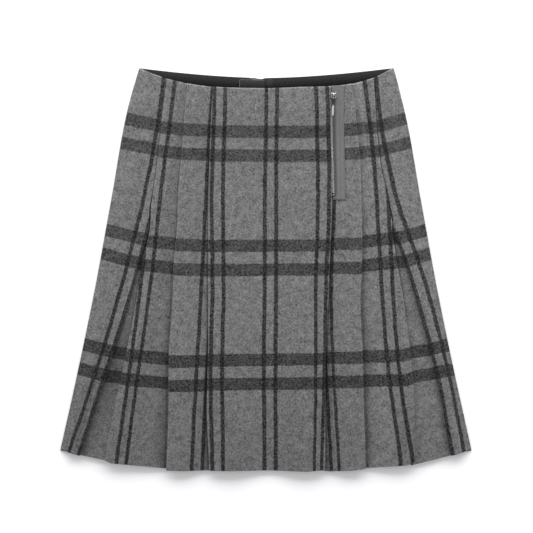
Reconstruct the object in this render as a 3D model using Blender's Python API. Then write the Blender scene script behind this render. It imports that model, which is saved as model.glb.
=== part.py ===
"""A-line skirt of brushed check wool, laid flat with its front up and its hem towards -Y.

Sizes are in millimetres until they reach the mesh. A drop is measured down the skirt from the
line through the waist's two corners. The cloth is a wall that runs across the skirt through
stations, folds under and over itself at the pleats, and hangs from the waist curve to its hem.
"""

from collections import namedtuple

import bmesh
import bpy
import numpy as np
from mathutils import Matrix

MM = 0.001

# Driving sizes.
CLOTH = 1.5  # thickness of the wool
GAP = 0.3  # clear space between pieces
LENGTH = 584.0  # from the waist's corners to the lowest hem
SIDE_LENGTH = 554.5  # down a side edge
HALF_WAIST = 183.5
FRONT_DIP = 27.8  # how far the middle of the front waist edge lies below the corners
BACK_DIP = 14.2
DIP_POWER_LEFT = 2.7  # how flat the bottom of the front's dip is on each side
DIP_POWER_RIGHT = 3.4
BACK_DIP_POWER = 1.5
BACK_HEM_SAG = 23.5  # how much longer the back is at its middle than at its sides
WAIST_PITCH = 1.8  # from one folded layer to the next, where the waist is pressed
HEM_PITCH = 3.4  # and where the hem lies loose
WAIST_LIFT = 2.4  # room under the front waist for the facing and the label
LIFT_FULL = 32.0  # distances down from the waist edge where that room starts to close and is gone
LIFT_END = 85.0
WAIST_SQUARE = 60  # power that keeps that room nearly to the side seams
HEM_LIFT = 2.2  # how far the front hem stands off the back
HEM_LIFT_START = 0.45  # share of the way down where it starts to
HEM_SQUARE = 8
MIDDLE = 4.0  # where the centre panel dips, between its two folds
ROWS = (0.0, 0.035, 0.07, 0.105, 0.14, 0.19, 0.25, 0.33, 0.41, 0.5, 0.59, 0.68, 0.76, 0.84, 0.92, 1.0)
CLIMB_STEPS = 3  # pieces of a stretch that climbs between two stations
TURN_STEPS = 4  # pieces of a fold's half circle
BACK_COLUMNS = 15
FACING_COLUMNS = 17
TAPE_ROWS = 12
TAPE_COLUMNS = 5

# Lines down the skirt: the distance right of the middle at each of these drops.
LINE_DROPS = (0.0, 50.0, 190.0, 310.0, 440.0, 560.0)
LINES = {
    "side": (183.5, 198.0, 224.5, 246.4, 273.0, 299.5),
    "left_slit": (-141.0, -148.0, -165.0, -189.9, -228.7, -266.6),
    "left_knife": (-111.3, -116.0, -127.8, -136.0, -143.5, -146.5),
    "left_box": (-75.0, -78.0, -83.0, -83.6, -82.7, -81.6),
    "right_box": (94.0, 94.3, 96.0, 91.6, 86.4, 86.0),
    "right_knife": (120.0, 128.0, 139.8, 140.0, 141.4, 146.5),
    "right_slit": (155.8, 160.0, 175.4, 208.0, 243.2, 265.7),
}

# Inverted pleats are sewn shut to the hip and spread below it: the drop where they start, and the
# width that they gain for each millimetre further down.
Spread = namedtuple("Spread", "line start rate")
SPREADS = {
    "left_lap": Spread("left_slit", 255.0, 0.115),
    "right_lap": Spread("right_slit", 225.0, -0.152),
}

# How deep the cloth folds under at each kind of pleat.
Pleat = namedtuple("Pleat", "waist hem")
PLEATS = {
    "inverted": Pleat(16.0, 6.0),
    "knife": Pleat(3.0, 16.0),
    "box": Pleat(34.0, 22.0),
}

# A station is a place that the cloth passes on its way across. line, depths, pleat and out give
# its place: on a line, so many pleat depths and millimetres to the right. level counts layers
# from the back panel up, turn is how many layers a fold climbs there, towards the side bulge,
# and hem is the drop of the hem.
Station = namedtuple("Station", "line depths pleat out level turn bulge hem")

FRONT_PANELS = {
    "side_front_left": (
        Station("left_side", 0, "inverted", 0, 1, 0, 0, 554.5),
        Station("left_slit", -1, "inverted", -4, 3, 0, 0, 560.0),
        Station("left_slit", 0, "inverted", 0, 3, -1, 1, 561.5),
        Station("left_slit", -1, "inverted", 0, 2, -1, -1, 560.5),
        Station("left_lap", 1, "inverted", 0, 1, 1, 1, 570.0),
        Station("left_lap", 0, "inverted", 0, 2, 1, -1, 569.0),
        Station("left_lap", 1, "inverted", 4, 3, 0, 0, 572.0),
        Station("left_knife", 0, "knife", -3, 1, 0, 0, 575.0),
        Station("left_knife", 1, "knife", 0, 1, 0, 0, 575.0),
    ),
    "front_left": (
        Station("left_knife", 1, "knife", 0, 2, 0, 0, 582.0),
        Station("left_knife", 0, "knife", 0, 2, 1, -1, 584.0),
        Station("left_knife", 1, "knife", 4, 3, 0, 0, 583.0),
        Station("left_box", 0, "box", -4, 1, 0, 0, 579.5),
        Station("left_box", 1, "box", 0, 1, 0, 0, 578.5),
    ),
    "front_center": (
        Station("left_box", 1, "box", 0, 2, 0, 0, 581.0),
        Station("left_box", 0, "box", 0, 2, 1, -1, 583.5),
        Station("left_box", 1, "box", 4, 3, 0, 0, 582.5),
        Station("middle", 0, "box", 0, 1.4, 0, 0, 582.0),
        Station("right_box", -1, "box", -4, 3, 0, 0, 582.5),
        Station("right_box", 0, "box", 0, 3, -1, 1, 583.5),
        Station("right_box", -1, "box", 0, 2, 0, 0, 581.0),
    ),
    "front_right": (
        Station("right_box", -1, "box", 0, 1, 0, 0, 578.0),
        Station("right_box", 0, "box", 6, 1, 0, 0, 579.0),
        Station("right_knife", -1, "knife", -4, 3, 0, 0, 582.5),
        Station("right_knife", 0, "knife", 0, 3, -1, 1, 583.0),
        Station("right_knife", -1, "knife", 0, 2, 0, 0, 581.0),
    ),
    "side_front_right": (
        Station("right_knife", -1, "knife", 0, 1, 0, 0, 576.0),
        Station("right_knife", 0, "knife", 3, 1, 0, 0, 576.0),
        Station("right_lap", -1, "inverted", -4, 3, 0, 0, 574.5),
        Station("right_lap", 0, "inverted", 0, 3, -1, 1, 573.0),
        Station("right_lap", -1, "inverted", 0, 2, -1, -1, 573.5),
        Station("right_slit", 1, "inverted", 0, 1, 1, 1, 561.5),
        Station("right_slit", 0, "inverted", 0, 2, 1, -1, 563.0),
        Station("right_slit", 1, "inverted", 4, 3, 0, 0, 561.5),
        Station("right_side", 0, "inverted", 0, 1, 0, 0, 554.5),
    ),
}

# Facing and label inside the back waist.
FACING = 1.0
FACING_WIDTH = 27.0
FACING_HALF_SPAN = 180.5
FACING_INSET = 0.8  # the wool edge that shows above it
LABEL = 0.8
LABEL_LEFT = -38.0
LABEL_RIGHT = -1.5
LABEL_TOP = 3.2  # below the back waist edge
LABEL_HEIGHT = 18.0

# Zip beside the centre panel's right fold.
TAPE = 1.0
TAPE_TOP = 26.0  # drops of the tape's two ends
TAPE_END = 191.0
TAPE_WIDTH = 18.2
ZIP_CLEAR = 0.9  # from the fold to the tape and the chain
CHAIN_WIDTH = 6.2
CHAIN_HEIGHT = 2.2
CHAIN_TOP = 46.0
CHAIN_END = 186.0
CHAIN_ACROSS = (-0.5, -0.32, 0.32, 0.5)  # shares of its width and height along its profile
CHAIN_RISE = (0.45, 1.0, 1.0, 0.45)
SLIDER_LENGTH = 10.4
SLIDER_WIDTH = 8.2
SLIDER_HEIGHT = 3.4
SLIDER_CORNER = 2.4
SLIDER_LEVELS = ((0.0, 1.0), (0.7, 1.0), (1.0, 0.86))  # share of its height, size of the outline there
SLIDER_DROP = 40.0  # its middle
SLIDER_SHIFT = 0.9  # it stands this far right of the chain's middle, clear of the fold
BAIL_WIDTH = 1.6
BAIL_THICK = 0.9
BAIL_REACH = 6.4  # along the slider
BAIL_RISE = 3.6
BAIL_SUNK = 0.4
BAIL_STEPS = 8
PULL_AXIS_RISE = 1.15  # above the slider's top
PULL_THICK = 1.1
PULL_TILT = -3.5  # degrees below level, so that its tip lies near the chain
# Half of the pull's outline and of its window, as distances right of and above the hinge line.
PULL_OUTLINE = (
    (2.3, 0.55),
    (2.3, -5.0),
    (1.2, -7.0),
    (1.2, -12.6),
    (2.15, -14.2),
    (2.15, -28.4),
    (1.3, -29.5),
)
PULL_WINDOW = ((1.15, -0.55), (1.15, -4.0))

WOOL = (0.17, 0.17, 0.175)
BLACK = (0.02, 0.02, 0.022)
TAPE_GREY = (0.2, 0.2, 0.2)
DARK_METAL = (0.25, 0.25, 0.26)
NICKEL = (0.72, 0.71, 0.69)


def smoothstep(x):
    """0 below 0, 1 above 1, and the cubic 3x^2 - 2x^3 between."""
    x = np.clip(x, 0.0, 1.0)
    return x * x * (3.0 - 2.0 * x)


def line(name, drop):
    """Where a line runs at a drop: a smooth curve through its row of LINES."""
    if name == "middle":
        return 0.0 * drop + MIDDLE
    if name == "left_side":
        return -line("side", drop)
    if name == "right_side":
        return line("side", drop)
    if name in SPREADS:
        spread = SPREADS[name]
        shut = np.sign(spread.rate) * GAP
        return line(spread.line, drop) + shut + spread.rate * np.maximum(drop - spread.start, 0.0)
    drops = np.array(LINE_DROPS)
    places = np.array(LINES[name])
    slopes = np.gradient(places, drops)
    i = np.clip(np.searchsorted(drops, drop) - 1, 0, len(drops) - 2)
    width = drops[i + 1] - drops[i]
    u = (drop - drops[i]) / width
    ends = places[i] * (1 + 2 * u) * (1 - u) ** 2 + places[i + 1] * u**2 * (3 - 2 * u)
    return ends + width * (slopes[i] * u * (1 - u) ** 2 - slopes[i + 1] * u**2 * (1 - u))


def front_waist(x):
    """Drop of the front waist edge: a flat-bottomed dip, fuller on the side with the zip."""
    power = np.where(x < 0, DIP_POWER_LEFT, DIP_POWER_RIGHT)
    return FRONT_DIP * (1 - np.minimum(np.abs(x) / HALF_WAIST, 1.0) ** power)


def back_waist(x):
    """Drop of the back waist edge, a shallower dip."""
    return BACK_DIP * (1 - np.minimum(np.abs(x) / HALF_WAIST, 1.0) ** BACK_DIP_POWER)


def back_hem(x, half_hem):
    """Drop of the back hem: a parabola just inside the front's."""
    return SIDE_LENGTH + BACK_HEM_SAG * (1 - (x / half_hem) ** 2)


def lift(side_share, below, share):
    """How far the front lies up off the back: full across the waist and the hem, none at the seams,
    where side_share is 1. below is the distance down from the waist edge."""
    waist = WAIST_LIFT * (1 - side_share**WAIST_SQUARE)
    hem = HEM_LIFT * (1 - side_share**HEM_SQUARE)
    waist = waist * (1 - smoothstep((below - LIFT_FULL) / (LIFT_END - LIFT_FULL)))
    return waist + hem * smoothstep((share - HEM_LIFT_START) / (1 - HEM_LIFT_START))


def layer_height(level, share):
    """Height of the middle of a layer, at a share of the way from waist to hem."""
    pitch = WAIST_PITCH + (HEM_PITCH - WAIST_PITCH) * share
    return 1.5 * CLOTH + GAP + (level - 1) * pitch


def pleat_depth(pleat, share):
    return PLEATS[pleat].waist + (PLEATS[pleat].hem - PLEATS[pleat].waist) * share


def station_place(station, share):
    """A station's distance right of the middle, at a share of the way from waist to hem."""
    offset = station.depths * pleat_depth(station.pleat, share) + station.out
    waist = front_waist(line(station.line, 0.0) + offset)
    return line(station.line, waist + (station.hem - waist) * share) + offset


def cross_section(stations, share):
    """The middle of the cloth on one row, as arrays along its way: x, height, the hem's drop there,
    and the x and z of the cloth's normal. A plain stretch climbs from level to level on a
    smoothstep. A fold is a half circle whose outer face touches its line.
    """
    pieces = []
    for station in stations:
        x = station_place(station, share)
        z = layer_height(station.level, share)
        if station.turn:
            climb = layer_height(station.level + station.turn, share) - z
            radius = abs(climb) / 2
            angle = np.linspace(0, np.pi, TURN_STEPS + 1)
            mid_x = x + station.bulge * (radius * (np.sin(angle) - 1) - CLOTH / 2)
            mid_z = z + climb / 2 * (1 - np.cos(angle))
            tangent = (station.bulge * np.cos(angle), station.turn * np.sin(angle))
        else:
            mid_x = np.array([x])
            mid_z = np.array([z])
            tangent = None
        pieces.append([mid_x, mid_z, tangent, np.full(len(mid_x), station.hem)])
    xs, zs, hems, tangents = [], [], [], []
    for here, there in zip(pieces, pieces[1:] + [None]):
        if here[2] is None:
            beside = there or pieces[-2]
            ahead = (beside[0][0] - here[0][-1]) if there else (here[0][0] - beside[0][-1])
            here[2] = (np.array([np.sign(ahead)]), np.array([0.0]))
        xs.append(here[0])
        zs.append(here[1])
        hems.append(here[3])
        tangents.append(np.stack(here[2]))
        if there:
            across = there[0][0] - here[0][-1]
            climb = there[1][0] - here[1][-1]
            steps = CLIMB_STEPS if abs(climb) > GAP else 1
            u = np.arange(1, steps) / steps
            xs.append(here[0][-1] + across * u)
            zs.append(here[1][-1] + climb * smoothstep(u))
            hems.append(here[3][-1] + (there[3][0] - here[3][-1]) * u)
            slope = np.stack([across + 0 * u, climb * 6 * u * (1 - u)])
            tangents.append(slope / np.linalg.norm(slope, axis=0))
    tangent = np.concatenate(tangents, axis=1)
    return np.concatenate(xs), np.concatenate(zs), np.concatenate(hems), -tangent[1], tangent[0]


def cloth_rows(stations):
    """The two faces of a front panel, as grids of points with a row for each of ROWS."""
    waist_x = cross_section(stations, 0.0)[0]
    waist = front_waist(waist_x)
    faces = ([], [])
    for share in ROWS:
        x, z, hem, normal_x, normal_z = cross_section(stations, share)
        drop = waist + (hem - waist) * share
        side_share = np.minimum(np.abs(x) / line("side", drop), 1.0)
        z = z + lift(side_share, drop - waist, share)
        for face, side in zip(faces, (0.5, -0.5)):
            thick = side * CLOTH
            face.append(np.stack([x + thick * normal_x, LENGTH / 2 - drop, z + thick * normal_z], axis=1))
    return np.array(faces[0]), np.array(faces[1])


def wall(name, upper, lower, material):
    """A closed wall between two grids of points of the same size."""
    rows, columns = upper.shape[:2]
    mesh = bmesh.new()
    grids = []
    for grid in (upper, lower):
        points = grid.reshape(-1, 3) * MM
        grids.append([mesh.verts.new(point) for point in points])
    for verts in grids:
        for row in range(rows - 1):
            for column in range(columns - 1):
                corner = row * columns + column
                quad = (corner, corner + 1, corner + columns + 1, corner + columns)
                mesh.faces.new([verts[i] for i in quad])
    rim = list(range(columns))
    rim += [row * columns + columns - 1 for row in range(1, rows)]
    rim += [(rows - 1) * columns + column for column in range(columns - 2, -1, -1)]
    rim += [row * columns for row in range(rows - 2, 0, -1)]
    for i, j in zip(rim, rim[1:] + rim[:1]):
        mesh.faces.new((grids[0][i], grids[0][j], grids[1][j], grids[1][i]))
    bmesh.ops.recalc_face_normals(mesh, faces=mesh.faces)
    bmesh.ops.triangulate(mesh, faces=mesh.faces)
    return add_object(name, mesh, material)


def add_object(name, mesh, material):
    data = bpy.data.meshes.new(name)
    mesh.to_mesh(data)
    mesh.free()
    data.materials.append(material)
    thing = bpy.data.objects.new(name, data)
    bpy.context.scene.collection.objects.link(thing)
    return thing


def surface_material(name, colour, roughness, metallic=0.0):
    material = bpy.data.materials.new(name)
    material.use_nodes = True
    shader = material.node_tree.nodes["Principled BSDF"]
    shader.inputs["Base Color"].default_value = (*colour, 1.0)
    shader.inputs["Roughness"].default_value = roughness
    shader.inputs["Metallic"].default_value = metallic
    return material


def back_panel(material):
    """The back, one flat piece from side to side, with its own waist curve and hem."""
    across = np.sin(np.linspace(-np.pi / 2, np.pi / 2, BACK_COLUMNS))
    half_hem = line("side", SIDE_LENGTH)
    hem = back_hem(across * half_hem, half_hem)
    waist = back_waist(across * HALF_WAIST)
    upper = []
    for share in ROWS:
        drop = waist + (hem - waist) * share
        x = across * line("side", drop)
        upper.append(np.stack([x, LENGTH / 2 - drop, 0 * x + CLOTH], axis=1))
    upper = np.array(upper)
    wall("back", upper, upper * (1, 1, 0), material)


def facing_strip(material):
    """The facing: a strip inside the back waist, a little below its edge."""
    x = np.linspace(-FACING_HALF_SPAN, FACING_HALF_SPAN, FACING_COLUMNS)
    rows = []
    for share in (0.0, 0.5, 1.0):
        drop = back_waist(x) + FACING_INSET + FACING_WIDTH * share
        rows.append(np.stack([x, LENGTH / 2 - drop, 0 * x + CLOTH + GAP], axis=1))
    lower = np.array(rows)
    wall("facing", lower + (0, 0, FACING), lower, material)


def label_tab(material):
    """The bare label on the facing, at the middle of the back."""
    x = np.linspace(LABEL_LEFT, LABEL_RIGHT, 5)
    rows = []
    for share in (0.0, 1.0):
        drop = back_waist(x) + LABEL_TOP + LABEL_HEIGHT * share
        rows.append(np.stack([x, LENGTH / 2 - drop, 0 * x + CLOTH + FACING + 2 * GAP], axis=1))
    lower = np.array(rows)
    wall("label", lower + (0, 0, LABEL), lower, material)


def zip_ground(x, drop):
    """Height of the right front panel's upper face beside the zip."""
    stations = FRONT_PANELS["front_right"]
    waist = front_waist(x)
    share = (drop - waist) / (stations[2].hem - waist)
    start = line("right_box", drop) + stations[1].out
    end = line("right_knife", drop) - pleat_depth("knife", share) + stations[2].out
    level = 1 + 2 * smoothstep((x - start) / (end - start))
    rise = lift(np.abs(x) / line("side", drop), drop - waist, share)
    return layer_height(level, share) + rise + CLOTH / 2


def tape_rows():
    """The lower face of the zip's tape, on the right front panel, and its rows' drops."""
    drops = np.linspace(TAPE_TOP, TAPE_END, TAPE_ROWS)[:, None]
    x = line("right_box", drops) + ZIP_CLEAR + TAPE_WIDTH * np.linspace(0, 1, TAPE_COLUMNS)
    return np.stack([x, LENGTH / 2 - drops + 0 * x, zip_ground(x, drops) + GAP], axis=2)


def chain_place(drop):
    """The chain's middle and the height that it lies at."""
    x = line("right_box", drop) + ZIP_CLEAR + CHAIN_WIDTH / 2
    edge = zip_ground(x + CHAIN_WIDTH / 2, drop)
    return x, edge + TAPE + 2 * GAP


def chain_bar(material):
    """The closed chain: a low bar with sloping shoulders down the edge of the tape."""
    drop = np.linspace(CHAIN_TOP, CHAIN_END, TAPE_ROWS)
    x, z = chain_place(drop)
    across = np.array(CHAIN_ACROSS) * CHAIN_WIDTH
    rise = np.array(CHAIN_RISE) * CHAIN_HEIGHT
    xs = x[:, None] + across
    ys = LENGTH / 2 - drop[:, None] + 0 * across
    lower = np.stack([xs, ys, z[:, None] + 0 * across], axis=2)
    upper = np.stack([xs, ys, z[:, None] + rise], axis=2)
    wall("zip_chain", upper, lower, material)


def ring_of_points(length, width, corner, count):
    """A rounded rectangle round the origin: its corners are quarter circles of count steps."""
    quarter = np.linspace(0, np.pi / 2, count + 1)
    points = []
    for turn, (sx, sy) in enumerate(((1, 1), (-1, 1), (-1, -1), (1, -1))):
        angle = quarter + turn * np.pi / 2
        x = sx * (width / 2 - corner) + corner * np.cos(angle)
        y = sy * (length / 2 - corner) + corner * np.sin(angle)
        points.append(np.stack([x, y], axis=1))
    return np.concatenate(points)


def slider_body(material):
    """The slider: a rounded block with a bevelled top, and a bail arched over its middle."""
    x, ground = chain_place(SLIDER_DROP)
    x = x + SLIDER_SHIFT
    y = LENGTH / 2 - SLIDER_DROP
    outline = ring_of_points(SLIDER_LENGTH, SLIDER_WIDTH, SLIDER_CORNER, 3)
    mesh = bmesh.new()
    rings = []
    for rise, size in SLIDER_LEVELS:
        ring = outline * size + (x, y)
        height = np.full(len(ring), ground + rise * SLIDER_HEIGHT)
        rings.append([mesh.verts.new(point * MM) for point in np.column_stack([ring, height])])
    for low, high in zip(rings, rings[1:]):
        for i in range(len(outline)):
            j = (i + 1) % len(outline)
            mesh.faces.new((low[i], low[j], high[j], high[i]))
    mesh.faces.new(rings[0][::-1])
    mesh.faces.new(rings[-1])
    body = add_object("zip_slider", mesh, material)
    bail = bail_arch(x, y, ground + SLIDER_HEIGHT, material)
    union = body.modifiers.new("bail", "BOOLEAN")
    union.operation = "UNION"
    union.solver = "EXACT"
    union.object = bail
    return x, ground + SLIDER_HEIGHT


def bail_arch(x, y, top, material):
    """The bail: a half ring of strap along the slider, its feet sunk into the slider's top."""
    mesh = bmesh.new()
    rings = []
    for a in np.linspace(0, np.pi, BAIL_STEPS + 1):
        ring = []
        for inset, side in ((0, -1), (0, 1), (BAIL_THICK, 1), (BAIL_THICK, -1)):
            point = (
                x + side * BAIL_WIDTH / 2,
                y + (BAIL_REACH / 2 - inset) * np.cos(a),
                top + (BAIL_RISE - inset) * np.sin(a) - BAIL_SUNK,
            )
            ring.append(mesh.verts.new(np.array(point) * MM))
        rings.append(ring)
    for here, there in zip(rings, rings[1:]):
        for i in range(4):
            j = (i + 1) % 4
            mesh.faces.new((here[i], here[j], there[j], there[i]))
    mesh.faces.new(rings[0][::-1])
    mesh.faces.new(rings[-1])
    bmesh.ops.recalc_face_normals(mesh, faces=mesh.faces)
    bail = add_object("bail_guide", mesh, material)
    bail.hide_render = True
    bail.display_type = "WIRE"
    return bail


def pull_tab(x, slider_top, material):
    """The pull: a flat tab whose window hangs on the bail. Its origin is on the hinge line."""
    rim = [*PULL_OUTLINE, *[(-px, py) for px, py in reversed(PULL_OUTLINE)]]
    hole = [*PULL_WINDOW, *[(-px, py) for px, py in reversed(PULL_WINDOW)]]
    mesh = bmesh.new()
    faces = []
    for height in (-PULL_THICK / 2, PULL_THICK / 2):
        loops = []
        for points in (rim, hole):
            loops.append([mesh.verts.new((px * MM, py * MM, height * MM)) for px, py in points])
        edges = []
        for loop in loops:
            edges += [mesh.edges.new((a, b)) for a, b in zip(loop, loop[1:] + loop[:1])]
        bmesh.ops.triangle_fill(mesh, use_beauty=True, edges=edges)
        faces.append(loops)
    for low, high in zip(*faces):
        for i in range(len(low)):
            j = (i + 1) % len(low)
            mesh.faces.new((low[i], low[j], high[j], high[i]))
    bmesh.ops.recalc_face_normals(mesh, faces=mesh.faces)
    bmesh.ops.transform(mesh, matrix=Matrix.Rotation(-np.radians(PULL_TILT), 4, "X"), verts=mesh.verts)
    pull = add_object("zip_pull", mesh, material)
    pull.location = (x * MM, (LENGTH / 2 - SLIDER_DROP) * MM, (slider_top + PULL_AXIS_RISE) * MM)


def main():
    for thing in list(bpy.data.objects):
        bpy.data.objects.remove(thing, do_unlink=True)
    wool = surface_material("wool", WOOL, 0.95)
    black = surface_material("facing_cloth", BLACK, 0.8)
    tape = surface_material("tape", TAPE_GREY, 0.85)
    teeth = surface_material("teeth", DARK_METAL, 0.35, 1.0)
    nickel = surface_material("nickel", NICKEL, 0.25, 1.0)
    back_panel(wool)
    for name, stations in FRONT_PANELS.items():
        upper, lower = cloth_rows(stations)
        wall(name, upper, lower, wool)
    facing_strip(black)
    label_tab(black)
    under_tape = tape_rows()
    wall("zip_tape", under_tape + (0, 0, TAPE), under_tape, tape)
    chain_bar(teeth)
    x, slider_top = slider_body(nickel)
    pull_tab(x, slider_top, nickel)


main()
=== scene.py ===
"""Looks of an A-line skirt in brushed check wool, laid flat with its front up.

Sizes are in millimetres until they reach a mesh. x runs to the right of the front, y from hem to
waist and z up through the cloth. A drop is measured down the skirt from the line through the
waist's two corners. Warp and weft are the cloth's own coordinates, which carry the check.
"""

from collections import namedtuple

import bmesh
import bpy
import numpy as np
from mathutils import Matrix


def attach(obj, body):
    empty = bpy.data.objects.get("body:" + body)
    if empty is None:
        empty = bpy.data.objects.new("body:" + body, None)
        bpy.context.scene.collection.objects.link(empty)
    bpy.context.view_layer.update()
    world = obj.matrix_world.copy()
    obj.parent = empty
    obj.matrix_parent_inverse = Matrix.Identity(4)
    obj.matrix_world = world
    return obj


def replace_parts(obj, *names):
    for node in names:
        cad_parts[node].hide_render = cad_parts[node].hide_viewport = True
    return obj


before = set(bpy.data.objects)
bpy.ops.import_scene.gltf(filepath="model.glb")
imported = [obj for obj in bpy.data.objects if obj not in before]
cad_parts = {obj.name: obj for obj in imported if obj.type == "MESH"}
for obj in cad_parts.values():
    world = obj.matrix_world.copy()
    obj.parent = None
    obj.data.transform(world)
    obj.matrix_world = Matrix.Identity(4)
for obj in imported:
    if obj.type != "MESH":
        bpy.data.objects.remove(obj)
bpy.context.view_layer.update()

MM = 0.001

# ---------------------------------------------------------------- the skirt's sizes

CLOTH = 1.5  # thickness of the wool
GAP = 0.3  # clear space between pieces
LENGTH = 584.0  # from the waist's corners to the lowest hem
SIDE_LENGTH = 554.5  # from there to the ends of the back hem
HALF_WAIST = 183.5  # from the middle to a corner
FRONT_DIP = 29.6  # how far the middle of the front waist edge lies below the corners
FRONT_POWERS = (3.1, 4.5)  # how full that dip is, left and right of the middle
ZIP_SIDE_RISE = 1.4  # how much shallower it is on the zip's side
ZIP_SIDE_REACH = 60.0
BACK_DIP = 14.2
BACK_POWER = 1.65
BACK_HEM_DROP = 23.5  # how far the middle of the back hem lies below its ends
NOTCH = 1.6  # a small dip of the back waist edge above the label
NOTCH_X = -8.5
NOTCH_REACH = 5.5
WAIST_PITCH = 1.8  # from one folded layer to the next, where the waist is pressed
HEM_PITCH = 3.4  # and where the hem lies loose
WAIST_LIFT = 2.4  # room under the front waist for the facing and the label
LIFT_FULL = 32.0  # below the waist edge, where that room begins to close
LIFT_END = 85.0  # and where it has closed
WAIST_SQUARE = 60  # a power: the higher, the nearer to the side seams that room goes
HEM_LIFT = 2.2  # how far the front hem stands off the back
HEM_LIFT_START = 0.45  # the share of the way down where it begins to
HEM_SQUARE = 14  # a power, as for the waist
MIDDLE = 4.0  # of the centre panel, right of the skirt's middle
RIM = 0.8  # how far in from a cut edge the cloth reaches its full thickness
RIM_STEPS = (0.0, 0.08, 0.3, 0.8)  # distances from an edge that get a row or a column
ROW_STEP = 2.6  # from one row of a panel to the next
COLUMN_STEP = 2.0  # from one column to the next, and twice that on the back
TURN_STEPS = 10  # pieces of a fold's half circle

LINE_DROPS = (0.0, 50.0, 190.0, 310.0, 440.0, 560.0)
LINES = {
    "side": (183.5, 198.0, 224.5, 246.4, 273.0, 299.5),
    "left_slit": (-141.0, -148.0, -165.0, -189.9, -228.7, -266.6),
    "left_knife": (-111.3, -116.0, -127.8, -136.0, -141.4, -143.6),
    "left_box": (-75.0, -78.0, -83.0, -83.6, -82.7, -81.6),
    "right_box": (94.0, 94.3, 96.0, 91.6, 86.4, 86.0),
    "right_knife": (120.0, 128.0, 139.8, 140.0, 141.4, 146.5),
    "right_slit": (155.8, 160.0, 175.4, 208.0, 243.2, 265.7),
}

# Where an inverted pleat spreads, its lap line leaves its slit line: from a drop on, so many
# millimetres to the right for each one down.
Spread = namedtuple("Spread", "line start rate")
SPREADS = {
    "left_lap": Spread("left_slit", 255.0, 0.115),
    "right_lap": Spread("right_slit", 225.0, -0.152),
}

# Small bends that the pressed edges have on top of their lines: the drop of the middle, how far
# they reach up and down, and how far to the right they go.
BENDS = {
    "left_side": ((280.0, 400.0, 0.8),),
    "right_side": ((8.0, 22.0, 1.5),),
    "left_slit": ((205.0, 14.0, -1.2), (240.0, 26.0, 4.2), (500.0, 40.0, -1.0)),
    "left_lap": ((212.0, 20.0, 1.6), (258.0, 22.0, 1.4)),
    "left_knife": ((235.0, 35.0, 2.2), (340.0, 50.0, 2.4), (500.0, 60.0, 2.0)),
    "left_box": ((495.0, 65.0, -3.0),),
    "right_box": ((115.0, 45.0, -0.6),),
    "right_knife": (
        (210.0, 50.0, -1.0),
        (348.0, 50.0, -3.0),
        (500.0, 55.0, -1.5),
        (580.0, 45.0, -2.6),
    ),
    "right_slit": (
        (90.0, 70.0, -1.6),
        (185.0, 24.0, 2.8),
        (217.0, 13.0, 1.9),
        (240.0, 14.0, -2.0),
        (320.0, 45.0, 1.4),
        (400.0, 60.0, 1.5),
        (490.0, 60.0, 1.8),
    ),
    "right_lap": ((210.0, 15.0, -1.6), (285.0, 40.0, -1.8)),
}

# How far a pleat goes under its fold at the waist and at the hem, by the last word of its line.
Pleat = namedtuple("Pleat", "waist hem")
INVERTED = Pleat(16.0, 6.0)
PLEATS = {
    "side": Pleat(0.0, 0.0),
    "slit": INVERTED,
    "lap": INVERTED,
    "knife": Pleat(3.0, 16.0),
    "box": Pleat(34.0, 22.0),
    "middle": Pleat(0.0, 0.0),
}

# A station is a place that the cloth passes on its way across, as many pleat depths and
# millimetres to the right of a line. level counts layers from the back panel up, turn is how many
# layers a fold climbs there, towards the side bulge, and hem is the drop of the hem.
Station = namedtuple("Station", "line depths out level turn bulge hem")
FRONT_PANELS = {
    "side_front_left": (
        Station("left_side", 0, 0, 1, 0, 0, 552.8),
        Station("left_slit", -1, -4, 3, 0, 0, 559.0),
        Station("left_slit", 0, 0, 3, -1, 1, 560.5),
        Station("left_slit", -1, 0, 2, -1, -1, 560.0),
        Station("left_lap", 1, 0, 1, 1, 1, 568.5),
        Station("left_lap", 0, 0, 2, 1, -1, 567.8),
        Station("left_lap", 1, 4, 3, 0, 0, 571.5),
        Station("left_knife", 0, -3, 1, 0, 0, 579.5),
        Station("left_knife", 1, 0, 1, 0, 0, 577.0),
    ),
    "front_left": (
        Station("left_knife", 1, 0, 2, 0, 0, 580.5),
        Station("left_knife", 0, 0, 2, 1, -1, 582.2),
        Station("left_knife", 1, 4, 3, 0, 0, 582.8),
        Station("left_box", 0, -4, 1, 0, 0, 582.6),
        Station("left_box", 1, 0, 1, 0, 0, 580.5),
    ),
    "front_center": (
        Station("left_box", 1, 0, 2, 0, 0, 581.0),
        Station("left_box", 0, 0, 2, 1, -1, 582.4),
        Station("left_box", 1, 4, 3, 0, 0, 582.8),
        Station("middle", 0, 0, 1.4, 0, 0, 582.4),
        Station("right_box", -1, -4, 3, 0, 0, 583.8),
        Station("right_box", 0, 0, 3, -1, 1, 581.6),
        Station("right_box", -1, 0, 2, 0, 0, 581.0),
    ),
    "front_right": (
        Station("right_box", -1, 0, 1, 0, 0, 581.0),
        Station("right_box", 0, 6, 1, 0, 0, 584.0),
        Station("right_knife", -1, -4, 3, 0, 0, 582.2),
        Station("right_knife", 0, 0, 3, -1, 1, 580.0),
        Station("right_knife", -1, 0, 2, 0, 0, 579.0),
    ),
    "side_front_right": (
        Station("right_knife", -1, 0, 1, 0, 0, 577.0),
        Station("right_knife", 0, 3, 1, 0, 0, 579.0),
        Station("right_lap", -1, -4, 3, 0, 0, 574.5),
        Station("right_lap", 0, 0, 3, -1, 1, 570.0),
        Station("right_lap", -1, 0, 2, -1, -1, 575.0),
        Station("right_slit", 1, 0, 1, 1, 1, 560.5),
        Station("right_slit", 0, 0, 2, 1, -1, 560.5),
        Station("right_slit", 1, 4, 3, 0, 0, 559.2),
        Station("right_side", 0, 0, 1, 0, 0, 552.2),
    ),
}

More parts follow.
